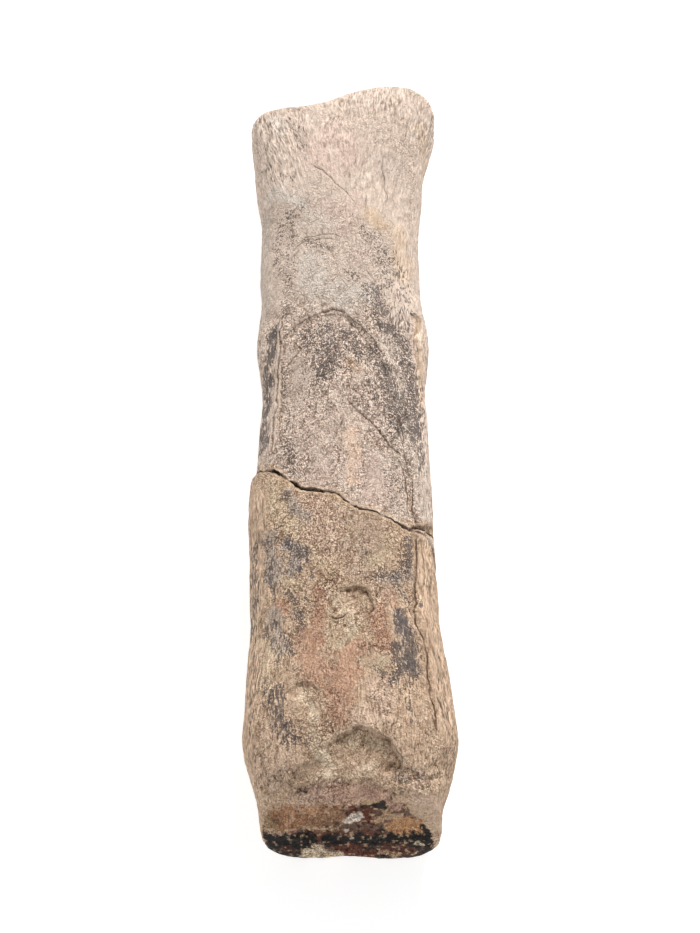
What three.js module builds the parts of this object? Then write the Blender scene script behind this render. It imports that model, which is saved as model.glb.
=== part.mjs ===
// A fossil horse cannon bone, snapped across the shaft into two pieces that still fit together.
// Millimetres, +Z up. The bone lies on its flatter back face, its rounded front face up.
// The joint end is towards -Y and the worn far end towards +Y. The origin is on the surface it
// lies on, under the middle of the whole bone.
import * as THREE from "three";
import { mergeVertices } from "three/addons/utils/BufferGeometryUtils.js";

// The shaft from end to end: its reach to the left and the right, and the height of its front face.
const SHAFT = [
  { y: -101, left: 17.6, right: 22.6, top: 31.2 },
  { y: -94, left: 18.4, right: 22.6, top: 32.6 },
  { y: -88, left: 20.0, right: 24.4, top: 33.6 },
  { y: -79, left: 22.6, right: 26.0, top: 34.2 },
  { y: -66, left: 21.6, right: 24.9, top: 33.0 },
  { y: -46, left: 21.4, right: 22.5, top: 30.8 },
  { y: -24, left: 22.4, right: 21.4, top: 29.2 },
  { y: -2, left: 21.5, right: 20.4, top: 28.4 },
  { y: 14, left: 20.7, right: 20.1, top: 28.0 },
  { y: 28, left: 22.0, right: 20.9, top: 28.0 },
  { y: 46, left: 21.7, right: 19.0, top: 28.0 },
  { y: 66, left: 21.9, right: 19.4, top: 28.4 },
  { y: 82, left: 24.2, right: 20.4, top: 29.2 },
  { y: 94, left: 25.0, right: 23.2, top: 29.4 },
  { y: 104, left: 24.2, right: 25.8, top: 28.4 },
];
const WIDEST_HEIGHT = 0.5; // of the front face's height, where the shaft is widest
const FRONT_SQUARENESS = { shaft: 2.35, farEnd: 3.1 }; // 2 is an ellipse, more is squarer
const BACK_SQUARENESS = 3.0;

// The back face is flat where it lies on the surface, near both ends, and is lifted between them. Two low
// ridges run along it from the joint end, with a channel between them.
const BACK_FLATNESS = 1.15;
const BACK_LIFT = { height: 1.3, less: 0.5 };
const BACK_RIDGES = { height: 1.4, share: 0.52, width: 0.2, to: 34, fade: 50 };

// The two ends, and the line of the break on the front face from the left side to the right.
const JOINT_FACE = { bottom: -100.9, lean: 6.4, dish: 0.5, rim: 1.0 };
const FAR_END_LINE = [
  [-25, 97.6], [-17, 97.4], [-11, 97.4], [-6, 98.6], [-1, 100.6], [4, 102.8], [9, 104.2], [14, 104.6], [25, 104.6],
];
const FAR_END = { cornerFrom: 15, cornerRadius: 10.5, dome: 1.2, rim: 1.0 };
const BREAK_LINE = [
  [-26, -8], [-22, -8.8], [-19, -12], [-16.4, -12.8], [-14, -15.4], [-11.3, -17.4], [-9.8, -19.6], [-6.8, -19.6],
  [-3, -20.7], [-1.3, -21.5], [1, -24], [3.6, -25.6], [8.8, -26.7], [11.9, -28.3], [15.5, -28.9], [19.5, -27.1],
  [26, -23],
];
const BREAK = { gap: 0.45, lean: 0.22, rim: 0.5, ragged: 0.5, slip: 0.35 };
const BREAK_OPENINGS = [
  { x: -15.8, width: 1.8, extra: 0.8 },
  { x: -11.6, width: 0.8, extra: 0.4 },
  { x: -7.4, width: 2.0, extra: 0.7 },
];
const BACK_BREAK = { left: -14, right: -31, from: 6, to: 20 };

// Relief on the front face. Paths are seen from above, and run from one end of the feature to the other.
const ARCH_STEP = {
  path: [[-15.6, -12], [-15.8, 8], [-15.3, 24], [-13, 28.4], [-8.5, 30.2], [-2, 31.6], [2, 29.6], [7, 24], [13, 15],
    [15.5, 2], [16.1, -9]],
  drop: 0.75, run: 1.2, fade: 9,
};
const LEFT_RIDGE = { path: [[-15.8, 35], [-16.2, 20], [-16.7, 0], [-18.4, -9]], height: 0.55, width: 1.0 };
const LEFT_HOLLOW = { path: [[-18.4, 33], [-18.7, 15], [-19.4, -2]], height: -0.6, width: 1.5 };
const RIGHT_GROOVES = [
  { path: [[13.4, -8.6], [15.4, -15.7], [16.1, -22], [16.2, -29]], height: -0.7, width: 0.9 },
  { path: [[17.2, -31], [17.3, -45], [16.6, -53], [19.2, -60], [20.2, -71], [20.9, -81]], height: -0.8, width: 0.9 },
];
const DIAGONAL_CRACK = { path: [[0.5, 4.6], [5.8, -1.6], [11.4, -6.8], [13.4, -8.6]], height: -0.35, width: 0.8 };
const SIDE_LEDGE = { path: [[17.6, 36], [18.6, 20], [18.4, 4], [19.2, -8]], height: 0.5, width: 1.1 };
const PIT = { x: 2.0, y: -51.4, radius: 4.2, depth: 1.3, plug: 0.7 };
const SCOOP = {
  path: [[-14.5, -72], [-13, -70.2], [-9.5, -69.2], [-6, -71], [-4.9, -76], [-5.6, -84]],
  drop: 0.75, run: 1.1, fade: 6,
};
const END_LEDGE = {
  path: [[-18, -95], [-12.5, -92], [-5, -88.4], [-0.7, -86.6], [2, -84.2], [5, -83], [8, -84], [11, -86], [13.4, -88.4],
    [14, -91.5], [15, -97]],
  drop: 1.5, run: 1.4, fade: 16,
};
const END_NOTCH = { path: [[12.2, -91], [16.5, -91.6], [21, -89], [24.5, -85.5]], height: -0.9, width: 1.2 };
const UNDULATION = { height: 0.22, length: 23, across: 11 };

// The grid of faces: round the bone, along each piece, and across each end face to its middle.
const COLUMNS = 52;
const END_RINGS = 4;
const BREAK_RINGS = 6;
const FACE_MIDDLE = { x: 0.5, z: 14 };
const FAR_PIECE_RINGS = 43;
const JOINT_PIECE_RINGS = 30;

const BONE_COLOUR = { far: 0xcdb9a3, joint: 0xb9977a };
const BONE_ROUGHNESS = 0.85;

const { clamp, lerp, smoothstep } = THREE.MathUtils;
const bump = (value, at, width) => Math.exp(-(((value - at) / width) ** 2));

// A smooth value through the stations of the shaft.
function shaftAt(y, key) {
  const last = SHAFT.length - 1;
  const place = clamp(y, SHAFT[0].y, SHAFT[last].y);
  let i = 0;
  while (i < last - 1 && SHAFT[i + 1].y < place) i++;
  const slope = (j) => {
    const before = SHAFT[Math.max(j - 1, 0)];
    const after = SHAFT[Math.min(j + 1, last)];
    return (after[key] - before[key]) / (after.y - before.y);
  };
  const from = SHAFT[i];
  const to = SHAFT[i + 1];
  const span = to.y - from.y;
  const s = (place - from.y) / span;
  const rise = s * s * (3 - 2 * s);
  const leaving = s * (1 - s) * (1 - s) * span * slope(i);
  const arriving = s * s * (1 - s) * span * slope(i + 1);
  return lerp(from[key], to[key], rise) + leaving - arriving;
}

// The height of a line of straight runs over x.
function lineAt(line, x) {
  let i = 0;
  while (i < line.length - 2 && line[i + 1][0] < x) i++;
  const [x0, y0] = line[i];
  const [x1, y1] = line[i + 1];
  return lerp(y0, y1, clamp((x - x0) / (x1 - x0), 0, 1));
}

// How far a point is from a path, and whether it is on the right-hand side of it.
function fromPath(path, x, y) {
  let best = { distance: Infinity, right: false };
  for (let i = 0; i < path.length - 1; i++) {
    const [x0, y0] = path[i];
    const dx = path[i + 1][0] - x0;
    const dy = path[i + 1][1] - y0;
    const s = clamp(((x - x0) * dx + (y - y0) * dy) / (dx * dx + dy * dy), 0, 1);
    const distance = Math.hypot(x - x0 - s * dx, y - y0 - s * dy);
    if (distance < best.distance) best = { distance, right: dx * (y - y0) - dy * (x - x0) < 0 };
  }
  return best;
}

// A rounded ridge along a path, or a groove where its height is negative.
function ridge({ path, height, width }, x, y) {
  const { distance } = fromPath(path, x, y);
  return height * Math.exp(-((distance / width) ** 2));
}

// A step down on the right-hand side of a path, which rises again with distance from it.
function step({ path, drop, run, fade }, x, y) {
  const { distance, right } = fromPath(path, x, y);
  return right ? -drop * smoothstep(distance, 0, run) * Math.exp(-((distance / fade) ** 2)) : 0;
}

// A round hollow with a lump of hardened sediment in it.
function pit({ x: px, y: py, radius, depth, plug }, x, y) {
  const r = Math.hypot(x - px, y - py) / radius;
  const lump = Math.hypot(x - px + 0.2 * radius, y - py + 0.3 * radius) / (0.6 * radius);
  return -depth * Math.exp(-(r ** 4)) + plug * Math.exp(-(lump ** 2));
}

// How far the front face stands out of its smooth shape at a point seen from above.
function frontRelief(x, y) {
  const grooves = [DIAGONAL_CRACK, ...RIGHT_GROOVES, LEFT_HOLLOW, LEFT_RIDGE, SIDE_LEDGE, END_NOTCH];
  const carved = grooves.reduce((sum, groove) => sum + ridge(groove, x, y), 0);
  return carved + step(ARCH_STEP, x, y) + step(SCOOP, x, y) + step(END_LEDGE, x, y) + pit(PIT, x, y);
}

// Long low swells, all over the bone.
function undulation(phi, y) {
  const along = (2 * Math.PI * y) / UNDULATION.length;
  return UNDULATION.height * (Math.sin(along + 2 * phi) + Math.sin(0.6 * along - 3 * phi + UNDULATION.across));
}

// The height of the back face at a share of the half width. down is 0 where the bone is widest and 1 at the
// bottom of its section.
function backHeight(share, down, y) {
  const widest = shaftAt(y, "top") * WIDEST_HEIGHT;
  const first = SHAFT[0].y;
  const last = SHAFT[SHAFT.length - 1].y;
  const arch = Math.sin(Math.PI * clamp((y - first) / (last - first), 0, 1));
  const lift = Math.max(BACK_LIFT.height * arch - BACK_LIFT.less, 0);
  const offRidge = 1 - bump(Math.abs(share), BACK_RIDGES.share, BACK_RIDGES.width);
  const fading = 1 - smoothstep(y, BACK_RIDGES.to - BACK_RIDGES.fade, BACK_RIDGES.to);
  const channel = BACK_RIDGES.height * fading * smoothstep(offRidge, 0.3, 1);
  return widest * Math.max(1 - BACK_FLATNESS * down, 0) + (lift + channel) * smoothstep(down, 0.5, 0.95);
}

// A point on the side of the bone. phi is 0 on the left, a quarter turn on top and a half turn on the right.
function sidePoint(phi, y) {
  const across = -Math.cos(phi);
  const up = Math.sin(phi);
  const front = up >= 0;
  const farness = smoothstep(y, 60, 98);
  const squareness = front ? lerp(FRONT_SQUARENESS.shaft, FRONT_SQUARENESS.farEnd, farness) : BACK_SQUARENESS;
  const reach = (Math.abs(across) ** squareness + Math.abs(up) ** squareness) ** (-1 / squareness);
  const share = across * reach;
  const halfWidth = shaftAt(y, share < 0 ? "left" : "right");
  const top = shaftAt(y, "top");
  const widest = top * WIDEST_HEIGHT;
  const x = share * halfWidth;
  const z = front ? widest + (top - widest) * up * reach : backHeight(share, -up * reach, y);
  return { x, z, share };
}

// The side point moved out by the relief, square to the section.
function carvedPoint(phi, y) {
  const small = 0.02;
  const here = sidePoint(phi, y);
  const before = sidePoint(phi - small, y);
  const after = sidePoint(phi + small, y);
  const outward = new THREE.Vector2(-(after.z - before.z), after.x - before.x).normalize();
  const onFront = smoothstep(Math.sin(phi), 0.05, 0.35);
  const offBack = smoothstep(Math.sin(phi), -0.6, -0.1);
  const out = frontRelief(here.x, y) * onFront + undulation(phi, y) * offBack;
  return { x: here.x + outward.x * out, z: Math.max(here.z + outward.y * out, 0), share: here.share };
}

// The far end: a slanted worn line seen from above, with a round corner on the right.
function farEndAt(x) {
  const into = clamp(x - FAR_END.cornerFrom, 0, FAR_END.cornerRadius);
  const rounding = FAR_END.cornerRadius - Math.sqrt(FAR_END.cornerRadius ** 2 - into ** 2);
  return lineAt(FAR_END_LINE, x) - rounding;
}

// The joint face leans back towards the front of the bone.
function jointFaceAt(z) {
  const up = clamp(z / SHAFT[1].top, 0, 1);
  return JOINT_FACE.bottom + JOINT_FACE.lean * up ** 1.6;
}

// The face of the break, the same for both pieces: it follows the break line at the front, runs nearly
// straight at the back, and is ragged in its depth.
function breakAt(x, z) {
  const depth = shaftAt(-20, "top") - z;
  const ragged = Math.sin(0.35 * x + 0.3 * z) + Math.sin(0.45 * z - 0.25 * x + 1);
  const leaning = BREAK.lean * depth * smoothstep(x, -12, 18);
  const back = lerp(BACK_BREAK.left, BACK_BREAK.right, (x + 24) / 48);
  const line = lerp(lineAt(BREAK_LINE, x), back, smoothstep(depth, BACK_BREAK.from, BACK_BREAK.to));
  return line - leaning + BREAK.ragged * ragged * smoothstep(depth, 0.5, 8);
}

// Half the open space between the two pieces, which is widest at a few places left of the middle.
function halfGapAt(x) {
  const open = BREAK_OPENINGS.reduce((sum, part) => sum + part.extra * bump(x, part.x, part.width), 0);
  return (BREAK.gap + open) / 2;
}

// Numbers from 0 to 1, closer together where density is higher.
function spread(count, density) {
  const fine = 400;
  const total = [0];
  for (let i = 0; i < fine; i++) total.push(total[i] + density((i + 0.5) / fine));
  const places = [];
  for (let i = 0; i <= count; i++) {
    const wanted = (i / count) * total[fine];
    let j = 0;
    while (j < fine - 1 && total[j + 1] < wanted) j++;
    places.push((j + clamp((wanted - total[j]) / (total[j + 1] - total[j]), 0, 1)) / fine);
  }
  return places;
}

// The angles of the columns: close on the front face, and closest along the ridge and the groove there.
const ANGLES = spread(COLUMNS, (s) => {
  const front = s < 0.5 ? 2.1 : 1;
  return front + 2.2 * bump(s, 0.125, 0.02) + 2.2 * bump(s, 0.395, 0.02);
}).map((s) => s * 2 * Math.PI);

// One piece of the bone: a ball's grid of points pulled on to the shape, its poles in the two end faces.
// far and near give y on the end towards +Y and on the end towards -Y, at a point of the section.
function pieceGeometry({ rings, density, far, near, farCap, nearCap, slip }) {
  const along = spread(rings, density);
  const rows = farCap.rings + rings + nearCap.rings;
  const geometry = new THREE.SphereGeometry(1, COLUMNS, rows);
  const position = geometry.getAttribute("position");

  // The side of the bone at a share of the way from the far end to the near one.
  const onSide = (phi, s) => {
    let y = lerp(far(0, 0), near(0, 0), s);
    let point = sidePoint(phi, y);
    for (let pass = 0; pass < 3; pass++) {
      y = lerp(far(point.x + slip, point.z), near(point.x + slip, point.z), s);
      point = sidePoint(phi, y);
    }
    const carved = carvedPoint(phi, y);
    return new THREE.Vector3(carved.x + slip, y, carved.z);
  };

  // An end face: the rim drawn in towards its middle. The slip is left out, so that the two faces of the
  // break have the same points.
  const onFace = (phi, s, inward, cap, end) => {
    const rim = onSide(phi, s);
    const x = lerp(rim.x - slip, FACE_MIDDLE.x, inward);
    const z = lerp(rim.z, FACE_MIDDLE.z, inward);
    const y = end(x, z) + cap.dome * (1 - (1 - inward) ** 2);
    return new THREE.Vector3(x, y, z);
  };

  // A rim ring is a little inside the edge, so that the edge itself is blunt.
  const length = far(0, 0) - near(0, 0);
  const farRim = farCap.rim / length;
  const nearRim = nearCap.rim / length;
  for (let i = 0; i < position.count; i++) {
    const phi = ANGLES[(i % (COLUMNS + 1)) % COLUMNS];
    const row = Math.floor(i / (COLUMNS + 1));
    let point;
    if (row < farCap.rings) {
      const inward = 1 - (row / (farCap.rings - 1)) * (1 - farCap.inset);
      point = onFace(phi, 0, inward, farCap, far);
    } else if (row > rows - nearCap.rings) {
      const inward = 1 - ((rows - row) / (nearCap.rings - 1)) * (1 - nearCap.inset);
      point = onFace(phi, 1, inward, nearCap, near);
    } else {
      const s = lerp(farRim, 1 - nearRim, along[row - farCap.rings]);
      point = onSide(phi, s);
    }
    position.setXYZ(i, point.x, point.y, point.z);
  }
  geometry.deleteAttribute("normal");
  geometry.deleteAttribute("uv");
  const closed = mergeVertices(geometry, 1e-4);
  closed.computeVertexNormals();
  return closed;
}

function bonePiece(name, colour, shape) {
  const material = new THREE.MeshStandardMaterial({ color: colour, roughness: BONE_ROUGHNESS, metalness: 0 });
  const mesh = new THREE.Mesh(pieceGeometry(shape), material);
  mesh.name = name;
  return mesh;
}

const BREAK_CAP = { rings: BREAK_RINGS, dome: 0, rim: BREAK.rim, inset: 0.03 };

const farPiece = bonePiece("far_end_piece", BONE_COLOUR.far, {
  rings: FAR_PIECE_RINGS,
  density: (s) => 1 + 1.6 * bump(s, 0.56, 0.035) + 1.0 * bump(s, 0, 0.05),
  far: (x) => farEndAt(x),
  near: (x, z) => breakAt(x, z) + halfGapAt(x),
  farCap: { rings: END_RINGS, dome: FAR_END.dome, rim: FAR_END.rim, inset: 0.1 },
  nearCap: BREAK_CAP,
  slip: BREAK.slip,
});

const jointPiece = bonePiece("joint_end_piece", BONE_COLOUR.joint, {
  rings: JOINT_PIECE_RINGS,
  density: (s) => 1 + 1.4 * bump(s, 0.85, 0.08) + 0.8 * bump(s, 0.4, 0.07) + 1.0 * bump(s, 1, 0.05),
  far: (x, z) => breakAt(x, z) - halfGapAt(x),
  near: (x, z) => jointFaceAt(z),
  farCap: BREAK_CAP,
  nearCap: { rings: END_RINGS, dome: JOINT_FACE.dish, rim: JOINT_FACE.rim, inset: 0.1 },
  slip: -BREAK.slip,
});

const bone = new THREE.Group();
bone.add(farPiece, jointPiece);

// The origin goes on the lying surface, under the middle of the bone's length and width.
const box = new THREE.Box3().setFromObject(bone);
const middle = box.getCenter(new THREE.Vector3());
for (const piece of bone.children) piece.position.set(-middle.x, -middle.y, -box.min.z);

export default bone;
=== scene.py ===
# %% [markdown]
# # A fossil horse leg bone
#
# This lesson dresses a plain solid model of a fossil cannon bone, the long bone below a horse's knee. The
# real one is stone now: a pale, fibrous shaft with dark mineral stains, snapped into two pieces that still
# fit together, with a darker joint face at one end. The solids already have the right size and the large
# forms. What is added here is the fine relief, carved into a dense copy of each piece, and the colour.
#
# All lengths in this script are in millimetres until a mesh is written, because the bone was measured so.

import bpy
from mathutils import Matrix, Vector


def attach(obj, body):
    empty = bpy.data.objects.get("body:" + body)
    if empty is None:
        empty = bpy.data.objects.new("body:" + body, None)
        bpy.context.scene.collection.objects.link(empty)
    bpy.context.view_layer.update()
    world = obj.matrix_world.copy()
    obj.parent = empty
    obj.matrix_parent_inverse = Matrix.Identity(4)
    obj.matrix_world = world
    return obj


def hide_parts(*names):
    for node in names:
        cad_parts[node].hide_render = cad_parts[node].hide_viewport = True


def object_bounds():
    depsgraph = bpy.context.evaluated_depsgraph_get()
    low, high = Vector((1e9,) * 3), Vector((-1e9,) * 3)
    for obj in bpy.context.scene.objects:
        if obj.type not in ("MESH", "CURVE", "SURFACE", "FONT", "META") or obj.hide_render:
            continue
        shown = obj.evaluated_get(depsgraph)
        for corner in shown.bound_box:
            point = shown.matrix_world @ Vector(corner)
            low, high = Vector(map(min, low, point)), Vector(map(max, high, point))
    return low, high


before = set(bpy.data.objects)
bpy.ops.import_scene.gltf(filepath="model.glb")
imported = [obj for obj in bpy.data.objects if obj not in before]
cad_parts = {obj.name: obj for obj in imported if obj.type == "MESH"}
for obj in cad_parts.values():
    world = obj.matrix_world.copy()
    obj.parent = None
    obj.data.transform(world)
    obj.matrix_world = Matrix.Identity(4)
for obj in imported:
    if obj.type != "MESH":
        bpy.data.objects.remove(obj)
cad_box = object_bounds()
print("solid pieces:", sorted(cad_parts))

# %% Tools and units
import math

import bmesh
import bpy
import numpy as np
from mathutils import Vector

MM = 0.001
MARK = np.array([-0.38, -2.30, 0.0])  # every path below is measured from this mark on the floor

# %% [markdown]
# ## Fine copies of the two pieces
#
# Each solid is a coarse shell of triangles. To carve grain and cracks into it, the shell has to be dense and
# even. Subdividing alone would leave long thin faces where the solid had them, so the copy is merged, rounded
# by two levels of subdivision, and then rebuilt by a remesh into small squares of one size. The broken edges
# are crisp on a real break, so every edge where the solid turns sharply is creased before it is subdivided,
# and the remesh is the sharp kind, which keeps corners, where a voxel remesh would round them.


# %% A dense, closed copy of a solid
SAME_POINT = 0.02 * MM
FLAT_ENOUGH = math.radians(60)  # two triangles that meet at less than this become one square
CREASE_FROM = math.radians(48)
UPPER_HALF = 12 * MM
LONGEST_SLIDE = 1.3 * MM


def apply_modifiers(piece):
    graph = bpy.context.evaluated_depsgraph_get()
    finished = bpy.data.meshes.new_from_object(piece.evaluated_get(graph))
    old = piece.data
    piece.modifiers.clear()
    piece.data = finished
    bpy.data.meshes.remove(old)


def close_pinches(piece):
    """The sharp remesh leaves a few edges with more than two faces, which are merged away."""
    shell = bmesh.new()
    shell.from_mesh(piece.data)
    pinched = [edge for edge in shell.edges if len(edge.link_faces) != 2]
    bmesh.ops.collapse(shell, edges=pinched)
    left_over = sum(len(edge.link_faces) != 2 for edge in shell.edges)
    print(piece.name, len(pinched), "pinched edges merged,", left_over, "left")
    shell.to_mesh(piece.data)
    shell.free()


def sharpen_break(shell, away):
    """The solid is blunt where its side meets the broken face, so its last ring is slid level with that face.

    Away is 1 if the piece lies beyond the break, and -1 if it lies before it."""
    slides = {}
    for vert in shell.verts:
        slopes = [face.normal.y * -away for face in vert.link_faces]
        on_the_ring = max(slopes) > 0.3 and min(abs(slope) for slope in slopes) < 0.25
        steps = [(edge.other_vert(vert).co.y - vert.co.y) * -away for edge in vert.link_edges]
        if vert.co.z > UPPER_HALF and on_the_ring and 0.2 * MM < max(steps) < LONGEST_SLIDE:
            slides[vert] = -away * 0.92 * max(steps)
    for vert, slide in slides.items():
        vert.co.y += slide
    print(len(slides), "points slid to the edge of the break")


def dense_copy(node, name, square, away):
    """A closed copy of the solid of a node, made of squares of the given size in millimetres."""
    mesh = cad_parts[node].data.copy()
    shell = bmesh.new()
    shell.from_mesh(mesh)
    bmesh.ops.remove_doubles(shell, verts=shell.verts, dist=SAME_POINT)
    bmesh.ops.join_triangles(
        shell, faces=shell.faces, angle_face_threshold=FLAT_ENOUGH, angle_shape_threshold=FLAT_ENOUGH
    )
    sharpen_break(shell, away)
    shell.normal_update()
    crease = shell.edges.layers.float.new("crease_edge")
    for edge in shell.edges:
        edge[crease] = 1.0 if edge.calc_face_angle(0) > CREASE_FROM else 0.0
    shell.to_mesh(mesh)
    shell.free()
    mesh.materials.clear()
    piece = bpy.data.objects.new(name, mesh)
    bpy.context.scene.collection.objects.link(piece)
    rounding = piece.modifiers.new("rounding", "SUBSURF")
    rounding.levels = 2
    rounding.render_levels = 2
    remesh = piece.modifiers.new("even squares", "REMESH")
    remesh.mode = "SHARP"
    remesh.octree_depth = 9
    remesh.scale = min(0.99, max(piece.dimensions) / (square * MM * 2**remesh.octree_depth))
    remesh.sharpness = 1.0
    apply_modifiers(piece)
    close_pinches(piece)
    return piece


far_piece = dense_copy("far_end_piece", "far_piece_carved", 0.36, 1)
joint_piece = dense_copy("joint_end_piece", "joint_piece_carved", 0.33, -1)
for piece in (far_piece, joint_piece):
    print(piece.name, len(piece.data.polygons), "faces before carving")

# %% [markdown]
# ## Measuring along paths
#
# Cracks, ridges and ledges on the bone run along wandering paths. Each one is written down as a few points,
# seen from above, and every point of the mesh then asks how far it is from the path and on which side. The
# answer drives the carving here and, later, the colour, so a crack is dark exactly where it is deep.


# %% Reading and writing the points of a mesh
def read_points(piece):
    flat = np.empty(len(piece.data.vertices) * 3)
    piece.data.vertices.foreach_get("co", flat)
    return flat.reshape(-1, 3) / MM - MARK


def write_points(piece, points):
    low, high = (np.array(corner) for corner in cad_box)
    placed = np.clip((points + MARK) * MM, low, high)
    piece.data.vertices.foreach_set("co", placed.ravel())
    piece.data.update()


def read_normals(piece):
    flat = np.empty(len(piece.data.vertices) * 3)
    piece.data.vertex_normals.foreach_get("vector", flat)
    return flat.reshape(-1, 3)


def read_both(piece):
    return read_points(piece), read_normals(piece)


print("the box of the solids, mm:", [[round(v / MM, 1) for v in corner] for corner in cad_box])


# %% Soft steps, noise and distances
def ramp(value, start, end):
    share = np.clip((value - start) / (end - start), 0, 1)
    return share * share * (3 - 2 * share)


def bell(value, width):
    return np.exp(-((value / width) ** 2))


def noise(points, size, seed):
    """Smooth random values from -1 to 1. The size of the lumps, in mm, is one number or one for each axis."""
    cells = points / np.array(size)
    low = np.floor(cells).astype(np.int64)
    part = cells - low
    part = part * part * (3 - 2 * part)
    total = np.zeros(len(points))
    for corner in range(8):
        step = np.array([corner & 1, corner >> 1 & 1, corner >> 2])
        key = (low + step) @ np.array([73856093, 19349663, 83492791]) + seed * 2654435761
        key = (key ^ (key >> 13)) * 1274126177 & 0xFFFFFFFF
        value = ((key ^ (key >> 16)) % 65521) / 32760 - 1
        total += value * np.prod(np.where(step, part, 1 - part), axis=1)
    return total


def measured(points, path):
    """For each point, seen from above: how far the path is, on which side (left is positive), and how far
    along the path its nearest place lies from the path's nearer end."""
    near = np.full(len(points), np.inf)
    side = np.ones(len(points))
    along = np.zeros(len(points))
    walked = 0.0
    for start, end in zip(path[:-1], path[1:]):
        dx = end[0] - start[0]
        dy = end[1] - start[1]
        px = points[:, 0] - start[0]
        py = points[:, 1] - start[1]
        share = np.clip((px * dx + py * dy) / (dx * dx + dy * dy), 0, 1)
        gap = np.hypot(px - share * dx, py - share * dy)
        closer = gap < near
        near = np.where(closer, gap, near)
        side = np.where(closer, np.where(dx * py - dy * px >= 0, 1.0, -1.0), side)
        along = np.where(closer, walked + share * math.hypot(dx, dy), along)
        walked += math.hypot(dx, dy)
    return near, side, np.minimum(along, walked - along)


def distance_to(points, path):
    return measured(points, path)[0]


def wander(points, *nudges):
    """The points nudged about by noise, so that nothing measured from them runs dead straight. A nudge is how
    far it moves a point at most, the size of its noise and a seed."""
    for amount, size, seed in nudges:
        across = amount * noise(points, size, seed)
        along = amount * noise(points, size, seed + 1)
        points = points + np.stack([across, along, 0 * along], axis=1)
    return points


sample = noise(read_points(far_piece)[:2000], 2, seed=1)
print("noise runs from", round(sample.min(), 2), "to", round(sample.max(), 2))


# %% The direction of the grain
FAN_LEFT = 0.022  # how much wider the fan of fibres gets in each millimetre, left of the middle
FAN_RIGHT = 0.007
FAN_START = 62
JOINT_FAN = 0.0042
JOINT_FAN_START = -45


def along_far_grain(points):
    """The points moved so that the bone's fibres, which fan out towards the far end, run straight along Y."""
    straight = points.copy()
    fan = np.where(points[:, 0] < 0, FAN_LEFT, FAN_RIGHT)
    straight[:, 0] /= 1 + fan * np.maximum(points[:, 1] - FAN_START, 0)
    return wander(straight, (0.5, (5, 12, 5), 11), (0.22, (1.6, 2.6, 1.6), 13))


def along_joint_grain(points):
    """The same for the joint piece, whose fibres spread as the shaft widens towards the joint."""
    straight = points.copy()
    straight[:, 0] /= 1 + JOINT_FAN * np.clip(JOINT_FAN_START - points[:, 1], 0, 50)
    return wander(straight, (0.5, (5, 12, 5), 12), (0.22, (1.6, 2.6, 1.6), 14))


far_points = read_points(far_piece)
x, y, _ = far_points[far_points[:, 0].argmin()]
lean = math.atan(-x * FAN_LEFT / (1 + FAN_LEFT * max(y - FAN_START, 0)))
print("fibres at the far end lean by up to", round(math.degrees(lean)), "degrees")

# %% [markdown]
# ## The paths of the bone's features
#
# These are the lines that make this bone this one and no other. On the far piece they are the arch-shaped
# ledge where a layer of the surface has flaked away, the ridge left of it, the crack that runs down to the
# right and the pair of lines round a narrow strip. On the joint piece they are the groove beside the fused
# splint bone, the filled pit, the scoop, and the ledge above the joint face.

# %% Paths on the far piece
ARCH = [
    (-15.5, -6), (-15.3, 14), (-14.9, 25), (-12.2, 27.4), (-10.5, 28.8), (-8.1, 30.1), (-5.4, 31.4),
    (-2.7, 31.8), (-0.6, 31.3), (1.4, 29.8), (3.5, 28), (4.8, 26.4), (6.5, 24.1), (8.2, 21.4), (9.8, 18.1),
]
ARCH_CROWN = [(-6.4, 31), (-5.4, 31.4), (-2.7, 31.8), (-0.6, 31.3), (0.6, 30.5)]
INNER_ARCH = [(0.1, 30), (2.4, 27.5), (4.1, 24.7), (5.8, 22.4), (8.5, 17.8), (10.1, 14.9), (11.1, 10.3)]
LOZENGE = [(-11.1, 27.4), (-9, 22.8), (-12.1, 19.5), (-14.1, 17)]
LEFT_RIDGE = [(-15.2, 29.4), (-15.5, 18.5), (-15.9, 10.7), (-16.1, 4.9), (-16.4, -0.7), (-17, -8)]
LEFT_SLOPE = [(-17, 28), (-17.8, 20.7), (-18.2, 13), (-19.2, 6), (-19.3, -2)]
SLANT_CRACK = [
    (0.4, 5.8), (2.7, 3), (4.2, 1.3), (6, 0.1), (8, -2.1), (9.6, -4.6), (10.9, -6.6), (12.2, -8.3),
    (13.9, -9.3),
]
BACKWARD_CRACK = [(10.9, -6.6), (12.8, -4), (13, 2.2)]
STRIP_LEFT = [(13.4, -9.9), (14.1, -13.4), (14.4, -17.4), (14.9, -21.6), (15.1, -25.4), (15.2, -27.4)]
STRIP_RIGHT = [
    (13, 2.2), (14.1, -2.1), (14.3, -8), (15.3, -12.2), (16.1, -15.5), (16, -20.7), (16.6, -25.7),
    (17.3, -27.8),
]
CHIP = [
    (15.6, -29.6), (16.6, -27.6), (18.8, -26.6), (21.4, -24), (25, -21.8), (26, -24.4), (20, -28.4),
    (15.6, -29.6),
]
SHORT_CRACK = [(-8.4, 4.2), (-6.6, 3), (-8, -0.6)]
RIGHT_EDGE = [(17.7, 34.5), (19.4, 31), (18.7, 23.7), (19.4, 18), (19.4, 10), (19.7, 2)]
FAR_SCRATCHES = [
    [(-8.9, 77), (-5.7, 74.9), (-2.1, 71.2), (0.4, 68.2), (2.5, 64.7)],
    [(-11.5, 54.3), (-8.3, 54.8), (-5.2, 54.7), (-2.4, 54.2), (0, 53.4)],
    [(-12.4, 51.6), (-10.4, 53.2), (-7.6, 53.6), (-4.4, 53.4), (-1.8, 52.6)],
    [(5.2, 44.1), (6.9, 41.8), (8.3, 39.5)],
    [(9.5, 81.1), (10, 75.9), (10.5, 70.7), (11.1, 64.8)],
]
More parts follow.
